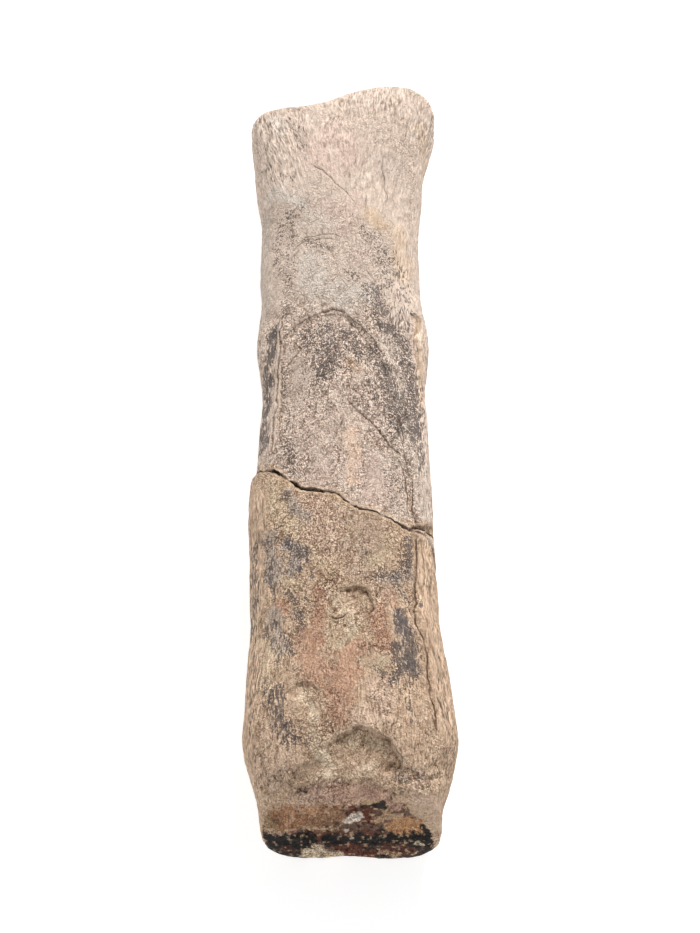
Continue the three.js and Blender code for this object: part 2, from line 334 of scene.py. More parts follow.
BREAK = [
    (-26, -8), (-22, -8.8), (-19, -12), (-16.4, -12.8), (-14, -15.4), (-11.3, -17.4), (-9.8, -19.6),
    (-6.8, -19.6), (-3, -20.7), (-1.3, -21.5), (1, -24), (3.6, -25.6), (8.8, -26.7), (11.9, -28.3),
    (15.5, -28.9), (19.5, -27.1), (26, -23),
]
print("the arch is", round(ARCH[-1][0] - ARCH[0][0]), "mm wide")

# %% Paths on the joint piece
SPLINT_GROOVE = [
    (16.8, -29.6), (16.7, -38.4), (16.6, -49.2), (15.9, -53.5), (16.4, -55), (18, -57.4), (18.8, -60.9),
    (18.9, -64.5), (19.4, -72.6), (20.3, -76), (20.4, -81),
]
SPLINT_CRACKS = [
    [(18.4, -33), (18.9, -41), (18.2, -47)], [(19.6, -36), (20.4, -46)],
    [(20, -58), (21.4, -66), (21, -72), (22.6, -78)], [(21.4, -60), (22.6, -68), (23.6, -78)],
]
PIT_RIM = [
    (-1.1, -46.9), (1.4, -46.6), (3.9, -46.4), (5.2, -46.5), (6.1, -47.7), (6.7, -49.5), (6.8, -52),
    (5.4, -54.9), (3.6, -57), (0.5, -57.6), (-1.8, -56), (-3.4, -53.9), (-3, -52), (-2.2, -49.3),
    (-1.1, -46.9),
]
PIT_CREVICE = [(-3.4, -54), (-1.6, -55.2), (0.2, -54.6), (1.4, -53.3)]
PIT_CRACK = [(2.7, -57), (2.7, -54.3), (3.9, -52.8), (5.9, -52.4)]
SCOOP = [
    (-14.2, -73.5), (-13, -72), (-11.5, -71.3), (-9.1, -71.2), (-6.4, -71.5), (-5.1, -73), (-5, -75.6),
    (-5.6, -78.5), (-6.3, -81.4),
]
LEDGE_LEFT = [
    (-17.5, -96.5), (-12.8, -92.5), (-10.5, -90.4), (-7.9, -88.9), (-5, -87.6), (-1.9, -84.4), (0, -83.3),
    (2, -82.3),
]
LEDGE_RIGHT = [
    (-3.4, -86), (-1.9, -84.4), (0, -83.3), (2, -82.3), (3.7, -81.9), (5.4, -82.2), (7, -82.8), (8.7, -84),
    (10.3, -85), (11.6, -86.4), (12.5, -88), (12.6, -90.1), (11.8, -93),
]
LEDGE_NOTCH = [
    (10.3, -91.5), (10.9, -93), (12.9, -93.3), (15.2, -92), (19.4, -91.4), (22.3, -89), (24.2, -86.5),
]
JOINT_RIM = [
    (-16.8, -99.6), (-14.4, -97.3), (-11.7, -95), (-9.8, -94.1), (-4.5, -93.9), (0.1, -93.7), (5.3, -94.4),
    (8.6, -95.6), (12.8, -97), (15.6, -98.8), (18, -100.6),
]
print("the ledge above the joint face is", round(LEDGE_RIGHT[-1][0] - LEDGE_LEFT[0][0]), "mm wide")

# %% [markdown]
# ## A brush of soft strokes
#
# Where a texture or a colour covers a region, the region is laid down in soft strokes, as with a wide brush:
# a path, a half width and a strength. The same brush serves for relief and for colour.


# %% The brush
def painted(points, strokes):
    """The strongest of many soft strokes. A stroke is its path, its half width and its strength."""
    mask = np.zeros(len(points))
    for path, width, strength in strokes:
        near = distance_to(points, path)
        mask = np.maximum(mask, strength * (1 - ramp(near, 0.1 * width, 1.6 * width)))
    return mask


FAR_FIBROUS = [
    ([(-24, 95), (-17, 84), (-15, 76)], 8, 1), ([(-12, 92), (-9, 86)], 4, 0.9),
    ([(-4, 99), (12, 98), (21, 93)], 9, 1), ([(22, 88), (21, 70), (19, 60)], 3.4, 0.9),
    ([(15, 63), (16, 52), (15, 40), (14, 30)], 3.6, 1), ([(10, 40), (11, 24), (14, 6)], 3, 0.45),
    ([(19.5, 30), (19.5, 0), (19.5, -22)], 2.4, 0.8), ([(-22, 80), (-21.5, 50), (-21.5, 0)], 2.4, 0.6),
    ([(-6, 84), (6, 76), (10, 68)], 12, 0.85), ([(-18.5, 25), (-19.5, 0)], 2.2, 0.8),
]
JOINT_FIBROUS = [
    ([(-21, -20), (-21, -60), (-22, -85)], 3.6, 1), ([(-16, -56), (-15, -70), (-14, -86)], 5, 0.6),
    ([(19.5, -31), (19.5, -50), (22, -66), (23, -80)], 3.2, 1), ([(13, -54), (15, -66), (14, -82)], 4.6, 0.6),
    ([(-8, -60), (-6, -68)], 4, 0.5), ([(2, -62), (4, -76)], 5, 0.55), ([(8, -80), (18, -88)], 4, 0.7),
    ([(-17, -32), (-16, -50)], 2.4, 0.6),
]
print(len(FAR_FIBROUS) + len(JOINT_FIBROUS), "strokes say where the surface is fibrous")

# %% [markdown]
# ## Carving
#
# Fossil bone has relief at three scales. Broad dents and swells come from the living bone. Ledges, cracks and
# pits of a millimetre or less come from weathering. The finest is the grain: bone is built of fibres that run
# along the shaft, and they open into fine splits where the surface is worn. All of it is written as one
# height for every point, and the point is pushed along its own normal by that much, as by a sculpting brush.


# %% The texture that both pieces share
def flank_of(normals):
    """1 where the surface stands upright, on either side of the bone, and 0 where it lies flat."""
    return 1 - ramp(np.abs(normals[:, 2]), 0.45, 0.85)


def worn_grain(points, straight, fibrous):
    """Swells and small flakes everywhere, and fibres with splits between them where the bone is fibrous."""
    fibres = 0.10 * noise(straight, (0.85, 3.4, 0.85), 1) + 0.08 * noise(straight, (1.8, 9, 1.8), 2)
    splits = ramp(noise(straight, (1.0, 7, 1.0), 3), 0.4, 0.8)
    swells = 0.10 * noise(points, (7, 11, 7), 4) + 0.06 * noise(points, (2.6, 3.4, 2.6), 5)
    flakes = 0.09 * ramp(noise(points, (2.3, 2.9, 2.3), 7), -0.12, 0.12)
    chips = 0.06 * ramp(noise(points, (1.15, 1.4, 1.15), 8), -0.15, 0.15)
    chips += 0.035 * noise(points, (0.7, 0.8, 0.7), 6)
    return swells + (flakes + chips) * (1 - 0.5 * fibrous) + fibres * (0.2 + fibrous) - 0.2 * splits * fibrous


sample = read_points(far_piece)[:2000]
print("fibrous bone is rough by up to", round(float(np.ptp(worn_grain(sample, sample, 1))), 2), "mm")


# %% Cracks and ledges
def crack(points, path, depth, width):
    """A furrow along a path, which dies out at both ends."""
    near, _, from_end = measured(points, path)
    return -depth * bell(near, width) * ramp(from_end, 0, 1.5)


def facing_up(normals):
    return ramp(normals[:, 2], 0.05, 0.4)


def step_down(points, path, side_down, drop, run, fade):
    """A sharp step along a path: it dies out at both ends, and its low side comes level with distance."""
    near, side, from_end = measured(points, path)
    height = -drop * ramp(near, 0, run) * bell(near, fade) * ramp(from_end, 0, 3)
    return np.where(side == side_down, height, 0)


def marks_and_ledges(points, marks, ledges):
    """Everything that a piece has in its two tables, in one height."""
    furrows = sum(crack(points, path, depth, width) for path, depth, width, _ in marks if depth)
    return furrows + sum(step_down(points, *ledge) for ledge in ledges)


def shifted(path, right):
    return [(x + right, y) for x, y in path]


print("0.3 mm beside a crack of width 0.2, its depth is down to", round(float(bell(0.3, 0.2)), 2), "of it")


# %% The break
ZIGZAGS = [(0.2, (1.5, 1, 1), 43), (0.16, (0.5, 1, 1), 44)]
HOLES = [(-15.2, 1.3), (-11.7, 0.9), (-6.9, 1.9)]  # the middle and the half width of each hole in the gap


def zigzag(points):
    """How far the break wanders along the bone at each x: the same for both pieces, so they still fit."""
    x_only = points * (1, 0, 0)
    return sum(amount * noise(x_only, size, seed) for amount, size, seed in ZIGZAGS)


def gape(points):
    """How far each broken edge stands back: a little all along, and more where the gap opens into holes."""
    return 0.1 + sum(0.16 * bell(points[:, 0] - middle, width) for middle, width in HOLES)


def unbent(points):
    """The points with the zigzag of the break taken out again."""
    straight = points.copy()
    straight[:, 1] -= zigzag(points)
    return straight


def broken_zone(points):
    """Where the two broken faces are: they are roughened only a little, so that they stay apart."""
    return ramp(points[:, 1], -44, -40) * (1 - ramp(points[:, 1], -4, -1))


def worn_lip(points, seed):
    """Small losses along the very edge of the break."""
    near_edge = ramp(0.6 - distance_to(points, BREAK), 0, 0.6)
    return -0.2 * near_edge * np.clip(noise(points, 1.5, seed), 0, 1)


def filled_corner(points, corner, height_share):
    """1 at a corner that the solid leaves too round, and less further off. Height counts for a share only."""
    return bell(np.linalg.norm((points - corner) * (1, 1, height_share), axis=1), 2.2)


def carve(piece, carving, away):
    """Carve a piece. Away is 1 if the piece lies beyond the break, and -1 if it lies before it."""
    points, normals = read_both(piece)
    height = carving(points, normals)
    inside = ramp(np.abs(normals[:, 1]), 0.75, 0.95) * broken_zone(points)
    height = height * (1 - inside) + inside * (0.07 - 0.06 * noise(points, 1.1, 41))
    carved = points + normals * height[:, None]
    near_break = distance_to(points, BREAK)
    carved[:, 1] += zigzag(points) * (1 - ramp(near_break, 0.8, 3.2))
    carved[:, 1] += away * gape(points) * (1 - ramp(near_break, 0.3, 1.6)) * facing_up(normals + (0, 0, 0.7))
    write_points(piece, carved)
    print(piece.name, "carved from", round(height.min(), 2), "to", round(height.max(), 2), "mm")


print("the zigzags are up to", sum(amount for amount, _, _ in ZIGZAGS), "mm high")


# %% [markdown]
# ## What is on each piece
#
# Two tables say what lies along the paths. A mark is a path, how deep and how wide it is cut, and how dark
# its line is painted later on. A depth below 0 raises a ridge, a darkness below 0 is a pale line, a painted
# highlight along the ridge, and a 0 leaves the cut or the line out. A line that is painted but not cut is
# painted shade along a step. A ledge is a path, the side that lies lower (1 is left of the way it runs, -1 is
# right), its drop, the run in which it falls, and how far off its low side comes level again.

# %% Carve the far piece
FAR_MARKS = [
    (ARCH, 0.16, 0.22, 0.55),
    (ARCH_CROWN, 0.42, 0.34, 0.9),
    (INNER_ARCH, 0.16, 0.22, 0.5),
    (LOZENGE, 0.18, 0.22, 0.45),
    (SLANT_CRACK, 0.28, 0.22, 0.7),
    (BACKWARD_CRACK, 0.2, 0.22, 0.6),
    (STRIP_LEFT, 0.14, 0.24, 0.8),
    (STRIP_RIGHT, 0.14, 0.24, 0.8),
    (SHORT_CRACK, 0.14, 0.22, 0.5),
    *[(scratch, 0.09, 0.22, 0.5) for scratch in FAR_SCRATCHES],
    # Pale lines along the ridge left of the arch are painted highlights.
    (LEFT_RIDGE, -0.36, 0.3, -0.9),
    (shifted(LEFT_RIDGE, -0.9), -0.26, 0.26, -0.7),
    (shifted(LEFT_RIDGE, -0.45), 0.26, 0.18, 0.6),
    (LEFT_SLOPE, 0.35, 1.0, 0),
    (RIGHT_EDGE, -0.5, 0.55, 0),
    (shifted(RIGHT_EDGE, -1.2), 0.35, 0.5, 0),
]
FAR_LEDGES = [(ARCH, -1, 0.32, 0.35, 4.5), (INNER_ARCH, -1, 0.2, 0.3, 2.0), (SLANT_CRACK, -1, 0.16, 0.3, 2.5)]
FAR_FLAKED = [([(8, 30), (12, 14), (11, 2)], 5, 1), ([(-12, 14), (-10, 4)], 3, 0.8)]
FAR_NUDGES = [(0.45, 2.6, 21), (0.16, 0.8, 23)]
FAR_CORNER = (-23.3, 103.5, 15)


def inside_of(points, rim):
    """1 inside a closed rim seen from above, with a soft edge of a fraction of a millimetre."""
    near = distance_to(points, rim)
    x = points[:, 0]
    y = points[:, 1]
    inside = np.zeros(len(points), bool)
    for (x0, y0), (x1, y1) in zip(rim[:-1], rim[1:]):
        if y0 != y1:
            inside ^= ((y0 > y) != (y1 > y)) & (x < (x1 - x0) * (y - y0) / (y1 - y0) + x0)
    return ramp(np.where(inside, near, -near), -0.15, 0.4)


def end_face(points, normals):
    return ramp(normals[:, 1], 0.45, 0.8) * ramp(points[:, 1], 70, 80)


def sponge(points):
    """The pores of the spongy bone inside the far end: large in the middle, none in the dense outer wall."""
    outward = np.maximum(np.abs(points[:, 0]) / 23, np.abs(points[:, 2] - 15) / 14)
    size = 1 - 0.45 * ramp(outward, 0.3, 0.9)
    pores = noise(points, 1.05, 36) + 0.6 * noise(points, 0.6, 37)
    return ramp(pores + 0.35 * size, 0.2, 0.5) * (1 - ramp(outward + 0.05 * noise(points, 3, 38), 0.78, 0.9))


def carve_far_piece(points, normals):
    front = facing_up(normals)
    near_mark = wander(points, *FAR_NUDGES)
    relief = marks_and_ledges(near_mark, FAR_MARKS, FAR_LEDGES)
    relief += 0.12 * painted(points, FAR_FLAKED) * ramp(noise(points, (2.6, 3.6, 2.6), 33), 0, 0.15)
    straight = along_far_grain(points)
    fibrous = np.maximum(painted(points, FAR_FIBROUS), 0.7 * flank_of(normals))
    pores = ramp(noise(straight, (0.7, 2.4, 0.7), 31), 0.5, 0.9) * fibrous
    spongy = sponge(points) * end_face(points, normals)
    relief = relief * front + worn_grain(points, straight, fibrous) - 0.16 * pores - 0.5 * spongy
    chip = -0.9 * inside_of(near_mark, CHIP) * ramp(2.2 - distance_to(points, BREAK), 0, 2.2)
    return relief + (chip + worn_lip(points, 35)) * front + 0.9 * filled_corner(points, FAR_CORNER, 0.5)


carve(far_piece, carve_far_piece, 1)

# %% Carve the joint piece
JOINT_MARKS = [
    (SPLINT_GROOVE, 0.45, 0.3, 1.0),
    *[(split, 0.25, 0.22, 0.6) for split in SPLINT_CRACKS],
    (PIT_CREVICE, 0.4, 0.22, 0.8),
    (PIT_CRACK, 0.3, 0.2, 0.7),
    # Painted shade, not cut, along the deep rim of the pit.
    (PIT_RIM, 0, 0, 0.5),
    (LEDGE_NOTCH, 0.35, 0.7, 0.35),
    # Painted shade, not cut, along the steps of the scoop and the two ledges.
    (SCOOP[:5], 0, 0, 0.35),
    (LEDGE_RIGHT[3:], 0, 0, 0.5),
    (LEDGE_LEFT[3:], 0, 0, 0.3),
    (JOINT_RIM, 0.2, 0.5, 0),
]
JOINT_LEDGES = [(SCOOP, -1, 0.5, 0.8, 5), (LEDGE_LEFT, -1, 0.35, 0.9, 5), (LEDGE_RIGHT, -1, 0.9, 0.75, 6)]
BESIDE_SPLINT = (SPLINT_GROOVE, 1, 0.3, 0.5, 2.2)
JOINT_PITTED = [([(10.2, -90.5), (12, -92.6)], 1.4, 1), ([(14, -93), (18, -93)], 1.6, 0.5)]
JOINT_NUDGES = [(0.4, 2.4, 51), (0.18, 0.8, 53)]
JOINT_CORNER = (-21.8, -9.4, 14)


def filled_pit(points, near_mark, ragged):
    """The pit is deep at its upper right, and the rest of it is nearly filled by a lumpy plug."""
    deep = ramp(near_mark[:, 0] + 0.5 * near_mark[:, 1], -25, -20)
    plug = ramp(noise(points, 1.9, 61), -0.08, 0.08) + 0.6 * ramp(noise(points, 1, 62), 0, 0.15)
    return inside_of(ragged, PIT_RIM) * (-0.3 - 0.8 * deep + 0.4 * plug * (1 - 0.6 * deep))


def lumpy(points):
    """The rough lumps of the joint end."""
    broad = 0.26 * np.maximum(noise(points, (3.4, 3, 3.4), 63), -0.4)
    return broad + 0.16 * ramp(noise(points, 1.7, 64), -0.1, 0.2)


def carve_joint_piece(points, normals):
    front = facing_up(normals)
    near_mark = wander(points, *JOINT_NUDGES)
    ragged = wander(near_mark, (0.5, 1.7, 55))
    relief = marks_and_ledges(near_mark, JOINT_MARKS, [BESIDE_SPLINT])
    relief += filled_pit(points, near_mark, ragged) + marks_and_ledges(ragged, [], JOINT_LEDGES)
    relief -= 0.5 * painted(points, JOINT_PITTED) * ramp(noise(points, (1.1, 1.3, 1.1), 67), 0, 0.4)
    rough_end = 1 - ramp(points[:, 1], -93, -84)
    straight = along_joint_grain(points)
    fibrous = np.maximum(painted(points, JOINT_FIBROUS), 0.8 * flank_of(normals)) * (1 - rough_end)
    dents = ramp(noise(straight, (1.0, 2.4, 1.0), 65), 0.45, 0.85) * (1 - rough_end)
    relief = relief * front + worn_grain(points, straight, fibrous) - 0.16 * dents
    relief += lumpy(points) * rough_end * (0.4 + 0.6 * front)
    corner = filled_corner(points, JOINT_CORNER, 0.4) * (1 - ramp(normals[:, 1], 0.5, 0.8))
    return relief + worn_lip(points, 66) * front + 0.8 * corner


carve(joint_piece, carve_joint_piece, -1)

# %% [markdown]
# ## Fewer faces where nobody looks
#
# The front carries the detail. The underside lies on the table and the broken faces are hidden in the gap, so
# their squares can be larger. A Decimate modifier collapses faces, and a vertex group tells it where: the
# weight is high on the underside and zero on the front.


# %% Thin out the underside
MOST_TRIANGLES = 192000
SMOOTH_BELOW = math.radians(60)


def count_triangles(piece):
    return sum(len(face.vertices) - 2 for face in piece.data.polygons)


def thin_underside(piece):
    points, normals = read_both(piece)
    underside = 1 - ramp(normals[:, 2], -0.35, -0.05)
    hidden = np.maximum(underside, ramp(np.abs(normals[:, 1]), 0.8, 0.95) * broken_zone(points))
    group = piece.vertex_groups.new(name="hidden")
    for index in np.nonzero(hidden > 0.02)[0]:
        group.add([int(index)], float(hidden[index]), "REPLACE")
    before = count_triangles(piece)
    thinning = piece.modifiers.new("thinning", "DECIMATE")
    thinning.ratio = min(1.0, MOST_TRIANGLES / before)
    thinning.vertex_group = group.name
    apply_modifiers(piece)
    piece.vertex_groups.clear()
    piece.data.shade_smooth()
    piece.data.set_sharp_from_angle(angle=SMOOTH_BELOW)
    print(piece.name, before, "triangles, thinned to", count_triangles(piece))


thin_underside(far_piece)
thin_underside(joint_piece)

# %% [markdown]
# ## A coat of paint
#
# The colours of the bone follow its history: sediment stuck in hollows, a redder layer where the surface is
# whole, greyer and smoother skin elsewhere. They are laid down as a painter would, a ground first and then
# broken strokes of a few named tints, and saved on the mesh as a colour attribute. Noise decides where each
# stroke covers, so that no stroke edge can be seen.

# %% Tints, in red, green and blue from 0 to 255, and strokes
TINTS = {
    "sand": (209, 190, 174), "pale": (199, 181, 166), "pink": (209, 184, 170), "blush": (228, 198, 174),
    "mist": (213, 202, 190), "white": (238, 222, 202), "dove": (198, 184, 170), "ochre": (199, 168, 130),
    "amber": (216, 188, 158), "clay": (210, 189, 174), "tan": (190, 163, 137), "khaki": (204, 183, 154),
    "moss": (184, 163, 130), "rust": (179, 137, 112), "rose": (212, 184, 163), "umber": (188, 165, 147),
    "slate": (146, 140, 138), "peach": (205, 176, 150), "cream": (194, 176, 149), "chalk": (224, 205, 178),
    "earth": (150, 122, 96), "face": (116, 90, 76), "face light": (226, 198, 178),
    "face orange": (194, 146, 104), "face red": (98, 50, 34), "black": (8, 5, 4), "broken": (92, 68, 48),
    "face tan": (198, 168, 136), "mauve": (206, 168, 148), "face green": (158, 136, 100),
    "pale blue": (236, 224, 210),
}
FAR_WASHES = [
    ("pale", [(-10, 92), (4, 94), (16, 92)], 9, 0.5),
    ("pink", [(-3, 86), (4, 80), (-3, 76), (-8, 82)], 6, 0.7),
    ("pale", [(8, 80), (14, 74), (12, 66)], 6, 0.5), ("pink", [(-4, 63), (-1, 57), (3, 66)], 3.6, 0.6),
    ("mist", [(-18.5, 69.5), (-14.5, 67.7), (-11, 65.2)], 3.2, 0.9),
    ("mist", [(-19.2, 92.5), (-16.4, 88.7)], 1.8, 0.8),
    ("mist", [(-9, 46), (-6, 38), (0, 36), (4, 36)], 5.2, 0.9),
    ("dove", [(-20.6, 66), (-20.6, 48), (-20.4, 32)], 2.6, 0.9), ("mist", [(-9, 60), (-4, 58)], 3.4, 0.6),
    ("ochre", [(6, 60.8), (9.2, 58)], 2.6, 0.5), ("amber", [(14, 58), (15, 44)], 3, 0.6),
    ("amber", [(18.2, 31), (18.9, 22), (18.8, 8)], 1.3, 0.8), ("clay", [(-2, 24), (2, 10), (8, 0)], 9, 0.5),
    ("dove", [(12, 24), (14, 8), (14, -10)], 5, 0.6), ("pale", [(-11.8, 16), (-9.6, 14), (-12, 9)], 1.9, 0.9),
    ("clay", [(-10, 0), (-6, -8), (2, -18)], 8, 0.6),
    ("blush", [(1.4, -5), (2.8, -12), (1.6, -18)], 2.6, 0.95),
    ("pink", [(6, -14), (9, -20), (6, -23)], 4.5, 0.6), ("pink", [(-4, -14), (-6, -17)], 3, 0.5),
    ("white", [(2.6, 18), (4.2, 16.8)], 0.8, 1), ("white", [(18.2, 16), (18.4, 12)], 0.6, 0.9),
    ("white", [(18.6, 28), (19, 24)], 0.6, 0.9), ("amber", [(1.5, 15.6), (3.4, 14)], 1.3, 0.8),
    ("white", [(-4.3, 10.4), (-4.4, 8.4)], 0.8, 1),
    ("tan", [(15.4, -19.5), (15.8, -24), (16.2, -27.6)], 0.8, 0.7),
    ("ochre", [(-17.6, -11.2), (-16.6, -12.4)], 0.9, 0.9),
    ("earth", [(14.6, -27.6), (17, -27.4), (20, -25.6), (22, -24.6)], 1.3, 0.75),
    ("amber", [(-15.6, 29), (-16.2, 8), (-16.9, -7)], 0.5, 0.5),
    ("dove", [(18.6, -4), (18.8, -16), (19, -22)], 2.4, 0.5), ("amber", [(20.5, 92), (22, 80)], 2, 0.4),
]
JOINT_WASHES = [
    ("khaki", [(-18.6, -15), (-16.5, -21), (-13.7, -26), (-11, -31)], 3.6, 0.85),
    ("tan", [(-19.5, -12), (-18.6, -20)], 2.4, 0.8),
    ("rose", [(-9, -24), (-4, -27), (-3, -36), (-8, -34)], 5, 0.85),
    ("umber", [(2, -26.6), (7, -31), (7, -36), (2, -36)], 4.6, 0.6),
    ("khaki", [(-15.8, -27.7), (-12.5, -30.4), (-10, -34.9), (-6.6, -37.1)], 1.7, 0.8),
    ("moss", [(-7.2, -40.5), (-4.2, -39.3), (-2.4, -42.6), (-4.9, -46)], 1.6, 0.7),
    ("khaki", [(-14.6, -43.3), (-11.7, -46.6), (-9.9, -45.6)], 1.7, 0.85),
    ("khaki", [(-5.3, -49.9), (-3, -51.3), (-2.3, -60.4)], 1.3, 0.7),
    ("khaki", [(11.2, -32.6), (9.6, -35.8), (7.9, -39.6), (6.5, -41.4)], 2, 0.95),
    ("khaki", [(4.9, -39.8), (6.6, -37.9)], 1.4, 0.8),
    ("slate", [(-12.9, -34.4), (-10.5, -36.2), (-11.5, -41.6)], 2.4, 0.75),
    ("slate", [(-13.4, -20), (-11.6, -25.4), (-8.4, -27)], 2, 0.6),
    ("slate", [(-16.8, -31), (-16, -44)], 2.2, 0.55), ("slate", [(-15.6, -52), (-14.4, -62)], 2.6, 0.5),
    ("peach", [(-20.8, -16), (-20.6, -34), (-20.8, -50)], 1.6, 0.6),
    ("slate", [(9.5, -43.6), (13, -43), (15, -42)], 2.2, 0.5),
    ("slate", [(12.6, -54), (14.2, -60), (15, -66)], 2.4, 0.5),
    ("umber", [(1.5, -41.5), (6.5, -43), (10, -46)], 2.8, 0.7),
    ("rust", [(7.6, -53), (8.4, -58), (9.4, -62)], 2.9, 0.95),
    ("rust", [(-7.8, -59), (-7.4, -66), (-6, -70)], 3.8, 0.8),
    ("rust", [(3, -63), (0, -70), (-1, -79)], 4.6, 0.9), ("rose", [(8, -72), (9, -78), (4, -80)], 4.4, 0.7),
    ("rust", [(-13.9, -49.6), (-12.8, -51)], 1.5, 0.9),
    ("rust", [(-5.6, -47.6), (-5.4, -53), (-5.6, -60)], 2.2, 0.9), ("rust", [(10.6, -48), (11, -51)], 2, 0.6),
    ("cream", [(5.4, -65.9), (7.7, -67.4), (9.2, -65)], 2, 0.65),
    ("peach", [(19.3, -30.4), (19.2, -44), (18.8, -52), (20.4, -58), (21.6, -64), (22.5, -74)], 2.6, 0.95),
    ("peach", [(-20.6, -58), (-21.4, -72), (-21.4, -84)], 3, 0.6),
    ("khaki", [(-17.9, -58), (-16.3, -66.5), (-15.7, -74)], 2.6, 0.6),
    ("rose", [(-16, -82), (-12, -88), (-18, -90)], 4.6, 0.45),
    ("peach", [(13, -78), (17, -84), (20, -90)], 4.6, 0.35), ("peach", [(-13, -75), (-12, -79)], 2.6, 0.7),
    ("chalk", [(-9, -73.4), (-7.3, -75.2), (-6.4, -79.4)], 1.7, 0.9),
    ("chalk", [(-6, -83.4), (-4.6, -87), (-3, -91)], 2, 0.85),
    ("khaki", [(1, -85.4), (5, -85), (8, -86.4)], 2.6, 0.8), ("tan", [(0, -88), (6, -89), (11, -89)], 3, 0.8),
    ("chalk", [(3.6, -90.6), (6.4, -90)], 1.2, 0.7),
    ("umber", [(11.4, -91), (14, -92.4), (18, -91)], 1.5, 0.7),
    ("chalk", [(-6, -92), (0, -92.4), (6, -92)], 0.8, 0.7), ("cream", [(17.6, -92.9), (18.6, -93)], 0.8, 0.8),
    ("rose", [(15.5, -95), (20, -96)], 2.6, 0.7), ("cream", [(2.7, -57), (0.4, -60), (-0.6, -61)], 1.5, 0.9),
    ("chalk", [(-1, -49.8), (1.4, -53), (1.8, -56.4)], 3, 0.55),
    ("khaki", [(4.4, -48.6), (5.4, -51.6)], 1.4, 0.7), ("umber", [(-12.6, -90), (-15.6, -93)], 1.6, 0.5),
]
print(len(TINTS), "tints,", len(FAR_WASHES) + len(JOINT_WASHES), "strokes")

# %% Strokes on the joint face, measured across it and up it
FACE_WASHES = [
    ("face light", [(-11, 24), (-6, 28), (2, 29)], 4, 0.8), ("face orange", [(-6, 22), (-1, 20)], 3.4, 0.5),
    ("face orange", [(-14.6, 18.4), (-9, 19.6)], 3.8, 0.7), ("face green", [(-17, 22), (-16, 14)], 1.7, 0.8),
    ("mauve", [(-1, 28.6), (3.6, 27.6)], 2.8, 0.9), ("mauve", [(-6, 30.4), (-3, 29)], 2, 0.5),
    ("face tan", [(5, 25.6), (8.6, 24.2)], 2.2, 0.95),
    ("mauve", [(4.4, 30.6), (8, 28), (11.4, 24.4)], 1.9, 0.9), ("mauve", [(-12, 29), (-7.6, 31)], 1.5, 0.7),
    ("black", [(-12.4, 28.4), (-8.8, 30.2)], 1.1, 0.55), ("face red", [(-14.6, 18.4), (-9, 19.6)], 3.6, 0.14),
    ("black", [(4.2, 22.8), (8, 24.6)], 1.3, 0.75), ("face red", [(2, 20.4), (5.6, 20.6)], 2.6, 0.95),
    ("face orange", [(12, 16.4), (16.6, 15.4)], 3.4, 1), ("face tan", [(7.2, 19.6), (12, 20.8)], 1.3, 0.8),
    ("face tan", [(-9, 15.8), (-1, 15.4)], 0.9, 0.85), ("cream", [(-6, 15.6), (-3, 15.4)], 0.5, 0.6),
    ("face light", [(-16, 13.6), (-11, 14)], 1.3, 0.6), ("face red", [(-11, 12.4), (8, 13.4)], 2, 0.7),
    ("black", [(-16, 10), (-12.6, 9.2), (-7.6, 10.4)], 2.8, 1), ("black", [(-2.8, 9.8), (1, 9)], 2.8, 1),
    ("black", [(3.6, 11), (9.4, 10)], 2.6, 1), ("black", [(10.6, 10.6), (18.8, 10)], 3, 0.95),
    ("black", [(18.6, 16.4), (19.4, 12), (19, 5)], 1.8, 1), ("black", [(-16.6, 5), (-10, 3.6)], 2.2, 0.95),
    ("face red", [(-13.6, 7.4), (-11, 6.6)], 1.4, 0.7), ("black", [(3, 5), (17, 4.4)], 2.4, 0.5),
    ("face red", [(-0.6, 6), (5, 4)], 3, 1), ("face red", [(9, 7), (14, 6.6)], 1.9, 0.9),
    ("chalk", [(-8.6, 4.6), (-5, 4), (-2, 3.2)], 2.5, 1), ("chalk", [(-6.4, 8.6), (-5.2, 7.4)], 0.9, 0.9),
    ("pale blue", [(0.4, 18.2), (4, 20.2)], 1.3, 1), ("pale blue", [(2, 12.8), (2.2, 11.2)], 0.6, 0.9),
    ("pale blue", [(0.4, 14.4), (1.4, 14.6)], 0.5, 0.8), ("chalk", [(16.2, 9.6), (17.4, 8.4)], 0.8, 0.9),
    ("face tan", [(9, 5.4), (12, 4.6)], 0.9, 0.9), ("cream", [(-12.4, 12), (-11.6, 9.6)], 0.5, 0.7),
]
FACE_TOP = [
    (-17.4, 12), (-17.3, 19), (-15.4, 24.6), (-12.6, 29.4), (-10.2, 31.6), (-6, 32.2), (-1, 33), (4, 32.6),
    (8.4, 30.4), (12.4, 26), (15.6, 20.6), (18.2, 17), (20, 13), (20.6, 8),
]
print(len(FACE_WASHES), "strokes on the joint face")


# %% Tools of the painter
def blend(first, second, share):
    """A mixture of two colours for every point. The share is that of the second colour."""
    return first + (second - first) * share[:, None]


def one_tint(name):
    return np.array(TINTS[name], float)


def ground(points, name):
    return np.tile(one_tint(name), (len(points), 1))


def lay(paint, points, washes, grain, edge):
    """Lay strokes over a coat of paint. Each is a tint, a path, a half width and a strength."""
    broken = 0.55 * noise(points, grain, 81) + 0.45 * noise(points, 0.42 * grain, 82)
    for name, path, width, strength in washes:
        near = distance_to(points, path)
        cover = strength * ramp(1 - near / width + 0.6 * broken, 0.3 - edge, 0.3 + edge)
        paint = blend(paint, one_tint(name), cover)
    return paint


def linear(values):
    """Colours as a painter reads them, from 0 to 255, turned into the linear values that Blender uses."""
    shares = np.asarray(values, float) / 255
    return np.where(shares <= 0.04045, shares / 12.92, ((shares + 0.055) / 1.055) ** 2.4)


def save_paint(piece, paint):
    attribute = piece.data.attributes.new("paint", "FLOAT_COLOR", "POINT")
    coat = np.ones((len(paint), 4), np.float32)
    coat[:, :3] = linear(np.clip(paint, 0, 255))
    attribute.data.foreach_set("color", coat.ravel())


def save_mask(piece, name, values):
    attribute = piece.data.attributes.new(name, "FLOAT", "POINT")
    attribute.data.foreach_set("value", values.astype(np.float32))


print("middle grey in linear values:", round(float(linear(128)), 3))


